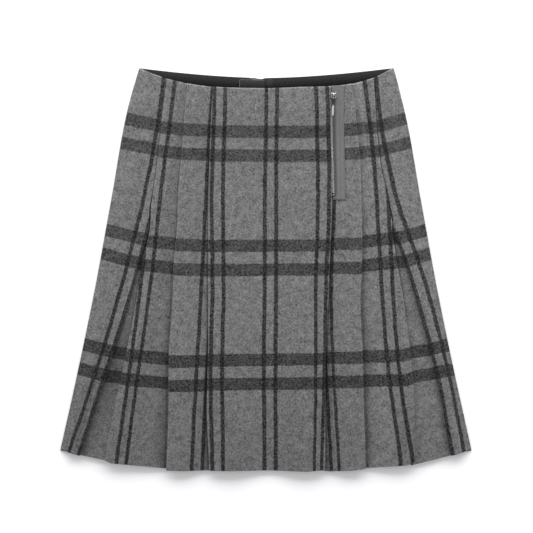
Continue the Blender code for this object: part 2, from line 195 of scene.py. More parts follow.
# ---------------------------------------------------------------- the check

STRIPE = 5.6  # width of a dark stripe down the cloth
STRIPE_GAP = 15.2  # between the middles of a pair
STRIPE_MARGIN = 7.0  # plain cloth beside a stripe that is never stretched
WARP_REPEAT = 75.0  # from one pair to the next
BAND = 18.0  # height of a dark band across the cloth
BAND_GAP = 34.8  # between the middles of a double band
FIRST_BAND = 92.1  # drop of the first band's middle, at the skirt's middle
WEFT_REPEAT = 165.3  # from one double band to the next
WEFT_END = 568.0  # the cloth is plain from here on down
BACK_REPEAT = 10  # which pair of stripes the back's middle lies in
BACK_RISE = 22.0  # how far the bands rise from the back's middle to its side seams

# A pair of stripes is pinned to the cloth by one of its two stripes, on the stretch after a
# station, at these distances right of the middle; gap is how far right of it the other one is.
Pair = namedtuple("Pair", "repeat stretch places gap")
PAIRS = {
    "side_front_left": (
        Pair(0, 0, (-147.3, -153.6, -178.9, -208.6, -247.2, -286.6), (15.2, 15.2, 14.9, 15, 12.4, 14.6)),
        Pair(
            1,
            6,
            (-127.5, -134.0, -152.4, -166.4, -184.9, -201.0),
            (-14.5, -14.5, -14.5, -12.9, -11.8, -13.2),
        ),
    ),
    "front_left": (
        Pair(0, 2, (-75.0, -78.8, -86.8, -92.8, -100.4, -106.2), (15.2, 15.2, 15.2, 15.2, 15.5, 15.6)),
    ),
    "front_center": (
        Pair(0, 2, (-57.8, -58.7, -61.8, -60.5, -62.9, -61.7), (-15.5, -15.5, -16.3, -16.5, -16.8, -15.6)),
        Pair(1, 2, (1.6, 0.9, -1.4, -1.6, -3.0, -1.9), (15.3, 15.4, 16.7, 17.0, 17.4, 16.5)),
        Pair(2, 3, (71.1, 72.9, 75.3, 72.6, 72.4, 70.8), (16.3, 16.6, 16.3, 14.7, 11.6, 9.4)),
    ),
    "front_right": (
        Pair(0, 1, (101.5, 101.0, 99.4, 94.6, 97.5, 104.8), (-13.0, -13.0, -13.0, -13.0, -9.6, -10.8)),
    ),
    "side_front_right": (
        Pair(0, 1, (140.0, 145.0, 160.0, 167.2, 177.2, 193.0), (17.5, 17.5, 16.2, 15.6, 15.3, 17.0)),
        Pair(1, 7, (160.0, 163.9, 190.2, 229.7, 263.0, 286.8), (-16.7, -16.7, -17.8, -16.7, -16.3, -18.2)),
    ),
}

# How far the bands rise above the middle at a station, at the drops of the three double bands.
RISE_DROPS = (109.5, 274.8, 440.1)
RISES = {
    "side_front_left": {
        0: (18.7, 24.0, 21.8),
        2: (7.3, 9.0, 13.0),
        5: (5.7, 6.8, 7.9),
        8: (2.5, 2.0, -0.5),
    },
    "front_left": {0: (2.5, 1.3, -2.9), 4: (0.7, -1.2, -1.5)},
    "front_center": {0: (0.2, -1.2, -0.5), 3: (-0.8, 0.0, 0.2), 6: (-0.8, 0.5, 2.0)},
    "front_right": {0: (-0.8, 2.5, 2.6), 4: (3.2, 3.0, 3.8)},
    "side_front_right": {
        0: (3.2, 5.0, 4.0),
        2: (4.6, 9.7, 6.0),
        3: (5.7, 10.9, 9.5),
        4: (6.0, 11.2, 9.5),
        5: (6.2, 11.4, 16.5),
        6: (6.5, 11.6, 17.0),
        8: (19.2, 23.5, 21.0),
    },
}

# ---------------------------------------------------------------- facing, label and zip

FACING = 1.0  # thickness, as are LABEL, THREAD and TAPE
FACING_WIDTH = 27.0
FACING_HALF_SPAN = 180.5
FACING_INSET = 0.2  # the wool edge that shows above it
FACING_SAG = 3.2  # how much lower it lies above the label, where more wool shows
FACING_SAG_X = -13.0
FACING_SAG_REACH = 9.5
FACING_STEP = 1.5  # from one row to the next
TROUGH_SHARE = 0.09  # where the row of stitches pulls the facing down a little
TROUGH_WIDTH = 0.8
TROUGH_DEPTH = 0.12
WAIST_LIT = 2.4  # painted light on a cloth inside the waist, at the back's edge
WAIST_LIT_LOSS = 1.85  # and how much of that it loses on the way down, as painted shade
WAIST_LIT_REACH = 14.0
LABEL = 0.8
LABEL_LEFT = -38.0
LABEL_RIGHT = -1.5
LABEL_TOP = 3.2  # below the back waist edge
LABEL_HEIGHT = 18.0
LABEL_BOW = 0.25
LABEL_STEP = 1.2
THREAD = 0.5
THREAD_RISE = 0.1  # from the cloth's face to the middle of a stitch
END_STITCHES = 5  # down the label's left end
END_STITCH = 1.8  # length of each
TOP_STITCHES = 14
TOP_STITCH = 1.5

TAPE = 1.0
TAPE_TOP = 26.0  # a drop, as are its end and the chain's and the slider's
TAPE_END = 191.0
TAPE_WIDTH = 18.2
TAPE_RIBS = (8.7, 14.3)  # from the tape's edge at the chain
RIB_WIDTH = 1.6
RIB_HEIGHT = 0.25
TAPE_ROW_STEP = 2.0
TAPE_COLUMN_STEP = 0.45
TAPE_LIGHT = 0.92
RIB_LIGHT = 0.13
TAPE_STITCH = (1.7, 0.15, 0.0)  # from a stitch's start to its end
TAPE_STITCH_PITCH = 2.2
TAPE_STITCH_UP = 2.0  # how far above the tape's end their row lies
ZIP_CLEAR = 0.9  # from the fold to the tape and the chain
BEAD_WIDTH = 5.0
BEAD_HEIGHT = 1.2
BEAD_START = 3.0  # how far above the chain the cord starts
BEAD_END_SIZE = 0.55
CHAIN_TOP = 46.0
CHAIN_END = 186.0
TEETH_PITCH = 2.0
TEETH_START = 0.2  # how far right of the fold the teeth's middle runs, at the top and the bottom
TEETH_FINISH = 1.8
TOOTH_FOOT = 1.6  # from the teeth's middle to a tooth's foot
TOOTH_TIP = -0.25  # and to its tip, which reaches past the middle
TOOTH_RISE = 1.15
TOOTH_HALVES = (0.62, 0.75)  # half its width and half its height
STOP_LENGTH = 3.0
STOP_LIGHT = 0.25
TEETH_LIGHT = 0.45  # how light they are, from 0 to 1
TEETH_SHADED = 0.6  # painted shade: how much darker they are just under the slider
TEETH_SHADED_REACH = 32.0
SLIDER_LENGTH = 9.2
SLIDER_WIDTH = 8.0
SLIDER_HEIGHT = 3.4
SLIDER_DROP = 40.0
SLIDER_SHIFT = 0.5  # how far right of the chain's middle it sits
SLIDER_BACK = 1.0  # how far its plates lie behind the hinge line
LOWER_PLATE = 0.9
UPPER_PLATE = 1.2
POST_SIZE = 0.34  # of the plates' outline
POST_SHIFT = 1.0
POST_SUNK = 0.6  # into both plates
RAIL_TAIL = (3.0, -4.6)  # a rail's lower and upper end, out from the slider's middle and up
RAIL_HEAD = (3.5, 1.6)
RAIL_RISE = 1.7
RAIL_HALVES = (0.45, 1.1)
RAIL_LIGHT = 0.8
BAIL_WIDTH = 1.6
BAIL_THICK = 0.9
BAIL_REACH = 6.4
BAIL_RISE = 3.6
BAIL_SUNK = 0.4  # how deep its feet stand in the upper plate
BAIL_RINGS = 17
BAIL_POINTS = 12  # in each of them
BAIL_LIGHT = (0.25, 1.3)  # painted light at its upper and its lower foot: a painted highlight at the lower
PULL_AXIS_RISE = 1.15
PULL_THICK = 1.1
PULL_TILT = -3.5  # degrees that its lower end hangs down from level

# ---------------------------------------------------------------- how the cloth lies and its painted shade

# Painted shade beside the edges of folds and pleat openings, darkening the wool: the stretches that
# it is on, the line, the offset to the right of it, and at LINE_DROPS how far the painted shade
# reaches and how dark it is. One number stands for the same one at all drops; below 0 paints lighter.
Shade = namedtuple("Shade", "stretches line offset reach dark")
SHADES = {
    "side_front_left": (
        Shade((0, 1, 2), "left_slit", 0.0, 0.9, (-0.25, -0.2, 0.3, 0.1, 0, 0)),
        Shade((0, 1), "left_slit", -10.0, 9, (0, 0, 0, 0, 0.15, 0.22)),
        Shade((3,), "left_slit", 0.8, (1, 1, 1.2, 1.5, 3, 4), (0, 0, 0.8, 0.5, 0.2, 0.15)),
        Shade((3,), "left_slit", 8.0, (12, 12, 12, 12, 14, 18), (0, 0, 0, -0.1, 0.42, 0.05)),
        Shade((3,), "left_lap", 0.0, 2, (0, 0, 0.5, 0.55, -0.3, -0.4)),
        Shade((6,), "left_lap", 3.6, (0.7, 0.7, 0.8, 0.8, 0.8, 0.8), (0, 0, 0.45, 0.1, 0, 0)),
        Shade((6, 7), "left_knife", 0, (0.8, 0.8, 1.1, 1.2, 1.5, 1.5), (0.1, 0.15, 0.6, 0.15, -0.3, -0.4)),
        Shade((6, 7), "left_knife", 0.0, (11, 11, 11, 11, 13, 16), (0, 0, 0, 0.22, 0.38, 0.42)),
        Shade((6,), "left_lap", 12.0, (22, 22, 22, 24, 30, 34), (0, 0, 0.08, 0.09, 0.11, 0.05)),
        Shade((0,), "left_slit", -12.0, (18, 18, 18, 18, 20, 20), (0, 0, 0.1, 0.18, 0.18, 0)),
    ),
    "front_left": (
        Shade((2, 3), "left_box", 0.0, (0.8, 0.8, 1.0, 1.5, 2.6, 3.2), (0.2, 0.25, 0.5, 0.65, 0.8, 0.75)),
    ),
    "front_center": (
        Shade((3,), "right_box", -9.5, 3.6, (0, 0, 0, 0, 0.2, 0.42)),
    ),
    "front_right": (
        Shade((0, 1), "right_box", 1.0, (1.2, 1.2, 1.4, 1.4, 1.6, 1.6), (0.3, 0.3, 0.4, 0.45, 0.7, 0.3)),
        Shade((0, 1), "right_box", 2.0, (4, 4, 5, 5, 6, 7), (0, 0, 0.05, 0.1, 0.3, 0.35)),
    ),
    "side_front_right": (
        Shade((0, 1), "right_knife", 0.3, (0.8, 0.8, 1.2, 1.2, 1.2, 1.2), (-0.05, -0.2, 0.2, 0.3, 0, -0.1)),
        Shade((1,), "right_knife", 9.0, 7, (-0.08, -0.1, -0.1, 0, 0, 0)),
        Shade((1,), "right_knife", 16.0, (30, 30, 30, 30, 40, 50), (-0.14, -0.13, -0.07, -0.03, 0, -0.02)),
        Shade((7,), "right_slit", 12.0, 20, (-0.08, -0.08, -0.07, -0.05, -0.05, -0.12)),
        Shade((1,), "right_knife", 30.0, 16, (0, 0, 0, 0, -0.1, -0.14)),
        Shade((0, 1), "right_knife", 4.0, (3, 3, 3, 3.5, 6, 7), (0, 0, 0.05, 0.3, 0.32, 0.32)),
        Shade((4,), "right_lap", 0.8, 1.2, (0, 0, 0.5, 0.5, -0.2, -0.4)),
        Shade((4,), "right_slit", 0.0, 1.5, (0, 0, 0.3, 0, 0, 0)),
        Shade((4,), "right_lap", 20.0, 20, (0, 0, 0, 0, -0.07, -0.1)),
        Shade((6, 7), "right_slit", 0.6, (0.7, 0.7, 0.9, 0.9, 0.9, 0.9), (0.6, 0.6, 0.5, 0.1, 0, 0)),
    ),
}
SHADE_LIMITS = (-0.6, 0.95)  # the lightest and the darkest that a shade gets between LINE_DROPS
CREST_WIDTH = 1.5  # of the painted highlight along a fold's edge
CREST_LIGHT = 0.22
EDGE_WIDTH = 1.3  # and of the painted highlight along the waist and the hem
WAIST_EDGE_LIGHT = 0.5
HEM_EDGE_LIGHT = 0.35
HEM_DARKER = 0.14  # painted shade: how much darker the wool is painted towards the hem
HEM_DARKER_START = 300.0

# Soft waves in the front as it lies, all layers together: the middle, the reach across and down,
# and the height.
Wave = namedtuple("Wave", "x drop across down height")
WAVES = (
    Wave(-236, 520, 22, 120, 1.6),
    Wave(-168, 560, 20, 90, 1.5),
    Wave(-112, 470, 16, 140, 1.2),
    Wave(-40, 560, 26, 110, 1.8),
    Wave(48, 540, 20, 90, 1.3),
    Wave(112, 500, 16, 130, 1.4),
    Wave(172, 560, 22, 100, 1.7),
    Wave(232, 500, 22, 90, 1.3),
    Wave(-20, 300, 46, 70, 0.9),
    Wave(-196, 330, 22, 80, 0.9),
    Wave(208, 300, 20, 70, 0.8),
    Wave(-150, 150, 24, 60, 0.6),
    Wave(60, 180, 26, 50, 0.7),
)

# Creases raised in one panel: the stretch they are on, the middle, the turn from level in degrees,
# the reach along and across, and the height. The back's one layer has no stretches.
Crease = namedtuple("Crease", "stretch x drop turn along across height")
CREASES = {
    "side_front_left": (
        Crease(0, -215, 300, 62, 34, 3.0, 0.5),
        Crease(0, -246, 420, 70, 40, 3.5, 0.6),
        Crease(6, -176, 470, 78, 46, 4.0, 0.8),
        Crease(6, -150, 395, -60, 26, 3.0, 0.5),
    ),
    "front_left": (
        Crease(2, -112, 330, 52, 22, 3.0, 0.4),
        Crease(2, -118, 520, 84, 40, 4.0, 0.7),
    ),
    "front_center": (
        Crease(2, -30, 420, 28, 24, 3.0, 0.4),
        Crease(3, 48, 350, -36, 22, 3.0, 0.4),
        Crease(3, 30, 230, 20, 26, 3.0, 0.35),
        Crease(2, -40, 540, 80, 38, 4.0, 0.7),
    ),
    "front_right": (
        Crease(1, 112, 342, -34, 12, 2.4, 0.6),
        Crease(1, 122, 374, -14, 13, 2.4, 0.6),
        Crease(1, 108, 205, 40, 12, 2.6, 0.5),
        Crease(1, 116, 520, 82, 40, 4.0, 0.6),
    ),
    "side_front_right": (
        Crease(4, 212, 318, 24, 10, 2.4, 0.8),
        Crease(4, 214, 398, -42, 18, 2.8, 0.7),
        Crease(7, 222, 262, -50, 16, 2.8, 0.5),
        Crease(7, 262, 440, -68, 34, 3.4, 0.5),
        Crease(1, 172, 500, 84, 44, 4.0, 0.7),
    ),
    "back": (
        Crease(0, -150, 505, 74, 42, 6.0, 0.6),
        Crease(0, -92, 470, -58, 30, 5.0, 0.45),
        Crease(0, -18, 515, 86, 46, 6.5, 0.7),
        Crease(0, 38, 455, 66, 34, 5.0, 0.4),
        Crease(0, 104, 500, -82, 40, 6.0, 0.6),
        Crease(0, 176, 485, -64, 36, 5.5, 0.5),
    ),
}


def smoothstep(x):
    """0 below 0, 1 above 1, and the cubic 3x^2 - 2x^3 between."""
    x = np.clip(x, 0.0, 1.0)
    return x * x * (3.0 - 2.0 * x)


def bell(distance, reach, power=2):
    """1 at no distance and about a third of that at the reach: e to minus the square of the distance
    over the reach. A power above 2 makes its top flatter."""
    return np.exp(-((distance / reach) ** power))


def through(places, drop):
    """A smooth curve down the skirt: cubic pieces between the places at LINE_DROPS, whose slope at
    each place is that between its neighbours. One number is a place for all drops."""
    if np.isscalar(places):
        return places
    drops = np.array(LINE_DROPS)
    places = np.array(places)
    slopes = np.gradient(places, drops)
    i = np.clip(np.searchsorted(drops, drop) - 1, 0, len(drops) - 2)
    width = drops[i + 1] - drops[i]
    u = (drop - drops[i]) / width
    ends = places[i] * (1 + 2 * u) * (1 - u) ** 2 + places[i + 1] * u**2 * (3 - 2 * u)
    return ends + width * (slopes[i] * u * (1 - u) ** 2 - slopes[i + 1] * u**2 * (1 - u))


def line(name, drop):
    """Where a line runs at a drop, its bends added as bell curves. A lap line keeps a gap from its
    slit line, and leaves it where the pleat spreads."""
    bends = sum(shift * bell(drop - middle, reach) for middle, reach, shift in BENDS.get(name, ()))
    if name == "middle":
        return 0.0 * drop + MIDDLE
    if name == "left_side":
        return bends - through(LINES["side"], drop)
    if name == "right_side":
        return bends + through(LINES["side"], drop)
    if name in SPREADS:
        spread = SPREADS[name]
        bends = bends + np.sign(spread.rate) * GAP
        return bends + line(spread.line, drop) + spread.rate * np.maximum(drop - spread.start, 0.0)
    return bends + through(LINES[name], drop)


def front_waist(x):
    """Drop of the front waist edge: a flat-bottomed dip, fuller on the side with the zip."""
    power = np.where(x < 0, *FRONT_POWERS)
    dip = FRONT_DIP - ZIP_SIDE_RISE * smoothstep(x / ZIP_SIDE_REACH)
    return dip * (1 - np.minimum(np.abs(x) / HALF_WAIST, 1.0) ** power)


def back_waist(x):
    """Drop of the back waist edge: a dip that rises as a power of the way to the corner."""
    return BACK_DIP * (1 - np.minimum(np.abs(x) / HALF_WAIST, 1.0) ** BACK_POWER)


def back_hem(x, half_hem):
    """Drop of the back hem: a parabola just inside the front's."""
    return SIDE_LENGTH + BACK_HEM_DROP * (1 - (x / half_hem) ** 2)


def way_out(x, drop):
    """How far out a place is: 0 at the middle and 1 at a side seam."""
    return np.minimum(np.abs(x) / line("right_side", drop), 1.0)


def lift(out, below, share):
    """How far the front lies up off the back: full across the waist and the hem, and none at the side
    seams. out is that of way_out, and below is the distance down from the waist edge."""
    waist = WAIST_LIFT * (1 - out**WAIST_SQUARE)
    hem = HEM_LIFT * (1 - out**HEM_SQUARE)
    waist = waist * (1 - smoothstep((below - LIFT_FULL) / (LIFT_END - LIFT_FULL)))
    return waist + hem * smoothstep((share - HEM_LIFT_START) / (1 - HEM_LIFT_START))


def layer_height(level, share):
    """Height of the middle of a layer, at a share of the way from waist to hem. The first layer is
    half a thickness and a gap above the back."""
    pitch = WAIST_PITCH + (HEM_PITCH - WAIST_PITCH) * share
    return 1.5 * CLOTH + GAP + (level - 1) * pitch


def pleat_depth(line_name, share):
    """How far a pleat on a line goes under its fold, at a share of the way from waist to hem."""
    pleat = PLEATS[line_name.split("_")[-1]]
    return pleat.waist + (pleat.hem - pleat.waist) * share


def station_place(station, share):
    """A station's distance right of the middle, at a share of the way from waist to hem."""
    offset = station.depths * pleat_depth(station.line, share) + station.out
    waist = front_waist(line(station.line, 0.0) + offset)
    return line(station.line, waist + (station.hem - waist) * share) + offset


def steps_between(width, step, first_edge=True, last_edge=True):
    """Shares from 0 to 1 about a step apart, with extra ones close to an end that is a cut edge."""
    count = max(4, int(np.ceil(width / step)))
    shares = [*np.linspace(0, 1, count + 1)]
    if first_edge:
        shares += [distance / width for distance in RIM_STEPS]
    if last_edge:
        shares += [1 - distance / width for distance in RIM_STEPS]
    return np.unique(np.round(shares, 6))


def panel_path(stations, share):
    """The middle of a folded panel on every row, as arrays of rows by columns: x, height and the
    hem's drop, and the column of each station. A stretch climbs from level to level on a
    smoothstep, and a fold is a half circle whose outer face touches its line."""
    xs, zs, hems, columns = [], [], [], []
    places = []
    for station in stations:
        x = station_place(station, share)
        z = layer_height(station.level, share)
        if station.turn:
            climb = layer_height(station.level + station.turn, share) - z
            radius = np.abs(climb) / 2
            angle = np.linspace(0, np.pi, TURN_STEPS + 1)
            x = x + station.bulge * (radius * (np.sin(angle) - 1) - CLOTH / 2)
            z = z + climb / 2 * (1 - np.cos(angle))
        places.append((x, z, station.hem + 0.0 * x))
    count = 0
    for i, here in enumerate(places):
        for kept, part in zip((xs, zs, hems), here):
            kept.append(part)
        columns.append(count + here[0].shape[1] // 2)
        count += here[0].shape[1]
        if i + 1 == len(places):
            break
        across, climb, fall = (b[:, :1] - a[:, -1:] for a, b in zip(here, places[i + 1]))
        u = steps_between(np.abs(across).max(), COLUMN_STEP, i == 0, i + 2 == len(places))[1:-1]
        xs.append(here[0][:, -1:] + across * u)
        zs.append(here[1][:, -1:] + climb * smoothstep(u))
        hems.append(here[2][:, -1:] + fall * u)
        count += len(u)
    return np.hstack(xs), np.hstack(zs), np.hstack(hems), columns


def piecewise(s, keys, values):
    """On each row, straight pieces from value to value at the keys, and flat outside them."""
    result = values[0] + 0.0 * s
    for low, high, a, b in zip(keys, keys[1:], values, values[1:]):
        result = result + (b - a) * np.clip((s - low) / (high - low), 0.0, 1.0)
    return result


def distance_along(x, z):
    """Distance across the cloth from the first column, row by row."""
    steps = np.hypot(np.diff(x, axis=1), np.diff(z, axis=1))
    return np.hstack([0.0 * x[:, :1], np.cumsum(steps, axis=1)])


def warp_of(name, x, s, columns, drop):
    """Distance across the check: the pairs of stripes are pinned where PAIRS puts them, with a plain
    margin beside each, and the cloth between them is spread evenly."""
    keys, values = [], []
    for pair in PAIRS[name]:
        low, high = columns[pair.stretch], columns[pair.stretch + 1]
        row = drop[:, [low]]
        u = (through(pair.places, row) - x[:, [low]]) / (x[:, [high]] - x[:, [low]])
        pinned = s[:, [low]] + u * (s[:, [high]] - s[:, [low]])
        other = pinned + through(pair.gap, row)
        first, second = np.minimum(pinned, other), np.maximum(pinned, other)
        keys += [first - STRIPE_MARGIN, first, second, second + STRIPE_MARGIN]
        start = pair.repeat * WARP_REPEAT
        values += [start - STRIPE_MARGIN, start, start + STRIPE_GAP, start + STRIPE_GAP + STRIPE_MARGIN]
    outside = np.minimum(s - keys[0], 0.0) + np.maximum(s - keys[-1], 0.0)
    return piecewise(s, keys, values) + outside


def weft_of(name, s, columns, drop):
    """Distance down the check: the drop plus how far the bands rise at that place."""
    keys, values = [], []
    for station, rises in RISES[name].items():
        column = columns[station]
        keys.append(s[:, [column]])
        values.append(np.interp(drop[:, [column]], RISE_DROPS, rises))
    return np.minimum(drop + piecewise(s, keys, values), WEFT_END)


def lie_of(name, x, s, columns, drop, waist, hem):
    """Painted light on the wool: painted shade beside folds and a little towards the hem, painted
    highlights on crests and cut edges, and 1 elsewhere. All but the hem's are bell curves."""
    light = 1.0 + 0.0 * s
    for shade in SHADES[name]:
        for stretch in shade.stretches:
            part = slice(columns[stretch], columns[stretch + 1] + 1)
            away = (x - line(shade.line, drop) - shade.offset)[:, part]
            dark = np.clip(through(shade.dark, drop[:, part]), *SHADE_LIMITS)
            light[:, part] *= 1 - dark * bell(away, through(shade.reach, drop[:, part]))
    # a painted highlight along each fold's crest
    for station, column in zip(FRONT_PANELS[name], columns):
        if station.turn:
            light = light + CREST_LIGHT * bell(s - s[:, [column]], CREST_WIDTH)
    # a painted highlight along the waist and hem edges
    for distance, extra in ((drop - waist, WAIST_EDGE_LIGHT), (hem - drop, HEM_EDGE_LIGHT)):
        light = light + extra * bell(distance, EDGE_WIDTH)
    return light * (1 - HEM_DARKER * smoothstep((drop - HEM_DARKER_START) / (LENGTH - HEM_DARKER_START)))


def swell(x, drop, out):
    """Height of the soft waves: a sum of bell curves, none at the side seams."""
    height = 0.0 * x
    for wave in WAVES:
        reach = ((x - wave.x) / wave.across) ** 2 + ((drop - wave.drop) / wave.down) ** 2
        height = height + wave.height * np.exp(-reach)
    return height * (1 - out**HEM_SQUARE)


def crease_height(crease, x, drop):
    """Height of one crease: a long bell curve, turned to its own direction."""
    turn = np.radians(crease.turn)
    right = x - crease.x
    up = crease.drop - drop
    along = right * np.cos(turn) + up * np.sin(turn)
    across = up * np.cos(turn) - right * np.sin(turn)
    return crease.height * np.exp(-((along / crease.along) ** 2) - (across / crease.across) ** 2)


def creases(name, x, drop, columns):
    """Height of a panel's creases, each on its own stretch and none at that stretch's ends."""
    height = 0.0 * x
    for crease in CREASES[name]:
        part = slice(columns[crease.stretch], columns[crease.stretch + 1] + 1)
        raised = crease_height(crease, x[:, part], drop[:, part])
        way = np.linspace(0, np.pi, raised.shape[1])
        height[:, part] += raised * np.minimum(1.0, 3 * np.sin(way))
    return height


def finished(name, mesh, material, attributes):
    """A smooth object of the mesh. An attribute holds one number, or one for each point."""
    mesh.shade_smooth()
    for key, values in attributes.items():
        values = np.broadcast_to(values, len(mesh.vertices)).astype(np.float32)
        mesh.attributes.new(key, "FLOAT", "POINT").data.foreach_set("value", values)
    mesh.materials.append(material)
    piece = bpy.data.objects.new(name, mesh)
    bpy.context.scene.collection.objects.link(piece)
    return piece


def shell(name, middle, thickness, rim, material, **attributes):
    """A closed wall round a grid of middle points. Its two faces lie half the thickness off along
    the grid's normals, and meet in a round edge: the half thickness is that of a quarter circle of
    the distance from the rim. Attributes are grids too, the same on both faces."""
    rows, columns = middle.shape[:2]
    down = np.gradient(middle, axis=0)
    across = np.gradient(middle, axis=1)
    normal = np.cross(down, across)
    normal /= np.linalg.norm(normal, axis=2, keepdims=True)
    near = np.clip(rim / RIM, 0.0, 1.0)
    half = (thickness / 2 * np.sqrt(1 - (1 - near) ** 2))[..., None]
    front = middle + normal * half
    back = middle - normal * half
    inside = np.zeros((rows, columns), bool)
    inside[1:-1, 1:-1] = True
    top = np.arange(rows * columns).reshape(rows, columns)
    under = top.copy()
    under[inside] = rows * columns + np.arange(inside.sum())
    points = np.concatenate([front.reshape(-1, 3), back[inside]])
    faces = []
    for grid, order in ((top, (0, 1, 2, 3)), (under, (3, 2, 1, 0))):
        quads = (grid[:-1, :-1], grid[1:, :-1], grid[1:, 1:], grid[:-1, 1:])
        faces.append(np.stack([quads[i] for i in order], axis=2).reshape(-1, 4))
    mesh = bpy.data.meshes.new(name)
    mesh.from_pydata((points * MM).tolist(), [], np.concatenate(faces).tolist())
    both = {key: np.concatenate([grid.reshape(-1), grid[inside]]) for key, grid in attributes.items()}
    return finished(name, mesh, material, both)


def rim_distance(s, below, above):
    """Distance from the nearest cut edge: across the cloth, from the waist and from the hem."""
    sides = np.minimum(s, s[:, -1:] - s)
    return np.minimum(sides, np.minimum(below, above))


def flat_size(s, length):
    """The piece's cut: its widest row, its length and its area, in metres."""
    width = s[:, -1].max()
    area = np.mean(s[:, -1]) * length
    return width * MM, length * MM, area * MM * MM


def front_panel(name, material):
    """One front panel, folded as its stations say, on the back panel."""
    stations = FRONT_PANELS[name]
    share = steps_between(LENGTH - FRONT_DIP, ROW_STEP)[:, None]
    x, z, hem, columns = panel_path(stations, share)
    waist = front_waist(x[:1])
    drop = waist + (hem - waist) * share
    s = distance_along(x, z)
    out = way_out(x, drop)
    z = z + lift(out, drop - waist, share) + swell(x, drop, out)
    z = z + creases(name, x, drop, columns)
    middle = np.stack([x, LENGTH / 2 - drop, z], axis=2)
    rim = rim_distance(s, drop - waist, hem - drop)
    attributes = {
        "warp": warp_of(name, x, s, columns, drop),
        "weft": weft_of(name, s, columns, drop),
        # the wool's painted shade and highlights
        "lie": lie_of(name, x, s, columns, drop, waist, hem),
    }
    piece = shell(name + "_cloth", middle, CLOTH, rim, material, **attributes)
    width, length, area = flat_size(s, float(np.mean(hem - waist)))
    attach(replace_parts(piece, name), "skirt")


def back_panel(material):
    """The back, lying flat but for its creases, with its own waist curve and hem."""
    half_hem = line("right_side", SIDE_LENGTH)
    across = 2 * steps_between(2 * half_hem, 2 * COLUMN_STEP)[None, :] - 1
    share = steps_between(SIDE_LENGTH, ROW_STEP)[:, None]
    waist = back_waist(across * HALF_WAIST)
    waist = waist + NOTCH * bell(across * HALF_WAIST - NOTCH_X, NOTCH_REACH, 4)
    hem = back_hem(across * half_hem, half_hem)
    drop = waist + (hem - waist) * share
    left, right = line("left_side", drop), line("right_side", drop)
    x = left + (right - left) * (across + 1) / 2
    z = CLOTH / 2 + sum(crease_height(crease, x, drop) for crease in CREASES["back"])
    s = distance_along(x, z)
    middle = np.stack([x, LENGTH / 2 - drop, z], axis=2)
    rim = rim_distance(s, drop - waist, hem - drop)
    warp = x + WARP_REPEAT * BACK_REPEAT + STRIPE_GAP / 2
    weft = np.minimum(drop + BACK_RISE * across**2, WEFT_END)
    piece = shell("back_cloth", middle, CLOTH, rim, material, warp=warp, weft=weft, lie=1.0 + 0.0 * x)
    width, length, area = flat_size(s, float(np.mean(hem - waist)))
    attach(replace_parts(piece, "back"), "skirt")


# ---------------------------------------------------------------- materials

LIGHT_WOOL = 0.117  # of the light that falls on it, what the ground throws back
BAND_SHADE = 0.40  # what a band leaves of the light wool, at the waist
BAND_DEEPER = 0.00028  # and how much less a millimetre further down
STRIPE_SHADE = 0.21  # what a stripe leaves of the light wool, at the waist
STRIPE_DEEPER = 0.0001
CHECK_EDGE = 1.2  # over which a stripe's or a band's edge fades
DARKEST_WOOL = 0.004
COOL = 1.02  # how much more blue than red the greys hold


class Signal:
    """A socket that varies over a surface. Arithmetic on it adds Math nodes."""

    def __init__(self, paint, socket):
        self.paint = paint
        self.socket = socket

    def math(self, operation, *others):
        terms = dict(enumerate((self, *others)))
        return self.paint.node("ShaderNodeMath", {"operation": operation}, terms)

    def __add__(self, other):
        return self.math("ADD", other)

    def __sub__(self, other):
        return self.math("SUBTRACT", other)

    def __rsub__(self, other):
        return self.paint.node("ShaderNodeMath", {"operation": "SUBTRACT"}, {0: other, 1: self})

    def __mul__(self, other):
        return self.math("MULTIPLY", other)

    def __mod__(self, other):
        return self.math("FLOORED_MODULO", other)

    def __abs__(self):
        return self.math("ABSOLUTE")

    __radd__ = __add__
    __rmul__ = __mul__


class Paint:
    """A material under way."""

    def __init__(self, name, uniform):
        self.material = bpy.data.materials.new(name)
        self.material.use_nodes = True
        self.tree = self.material.node_tree
        self.shader = self.tree.nodes["Principled BSDF"]
        for key, value in uniform.items():
            self.shader.inputs[key].default_value = value

    def node(self, kind, settings=(), inputs=(), output=0):
        """One of a new node's outputs."""
        made = self.tree.nodes.new(kind)
        for key, value in dict(settings).items():
            setattr(made, key, value)
        for key, value in dict(inputs).items():
            if isinstance(value, Signal):
                self.tree.links.new(value.socket, made.inputs[key])
            else:
                made.inputs[key].default_value = value
        return Signal(self, made.outputs[output])

    def attribute(self, name):
        return self.node("ShaderNodeAttribute", {"attribute_name": name}, output="Fac")

    def place(self, stretch=(1.0, 1.0, 1.0)):
        """Object coordinates in millimetres, divided by a stretch along each axis."""
        here = self.node("ShaderNodeTexCoord", output="Object")
        scale = tuple(1 / (MM * part) for part in stretch)
        return self.node("ShaderNodeVectorMath", {"operation": "MULTIPLY"}, {0: here, 1: scale})

    def axes(self):
        """Object coordinates in millimetres, along x and along y."""
        parts = self.node("ShaderNodeSeparateXYZ", (), {0: self.place()})
        return tuple(Signal(self, output) for output in parts.socket.node.outputs[:2])

    def noise(self, size, detail=2.0, stretch=(1.0, 1.0, 1.0), rough=0.5):
        """Noise about 0, mostly within 0.5 of it, whose patches are about size across."""
        inputs = {"Vector": self.place(stretch), "Scale": 1 / size, "Detail": detail, "Roughness": rough}
        return self.node("ShaderNodeTexNoise", (), inputs) - 0.5

    def bump(self, height, strength, distance):
        """Normals of a relief whose height is in units of the distance, in millimetres."""
        inputs = {"Strength": strength, "Distance": distance * MM, "Height": height}
        return self.node("ShaderNodeBump", (), inputs)

    def finish(self, value, normal=None, rough=None):
        """The material, in a grey of a varying value."""
        grey = self.node("ShaderNodeCombineColor", (), {0: value, 1: value, 2: value * COOL})
        for key, signal in {"Base Color": grey, "Normal": normal, "Roughness": rough}.items():
            if signal is not None:
                self.tree.links.new(signal.socket, self.shader.inputs[key])
        return self.material


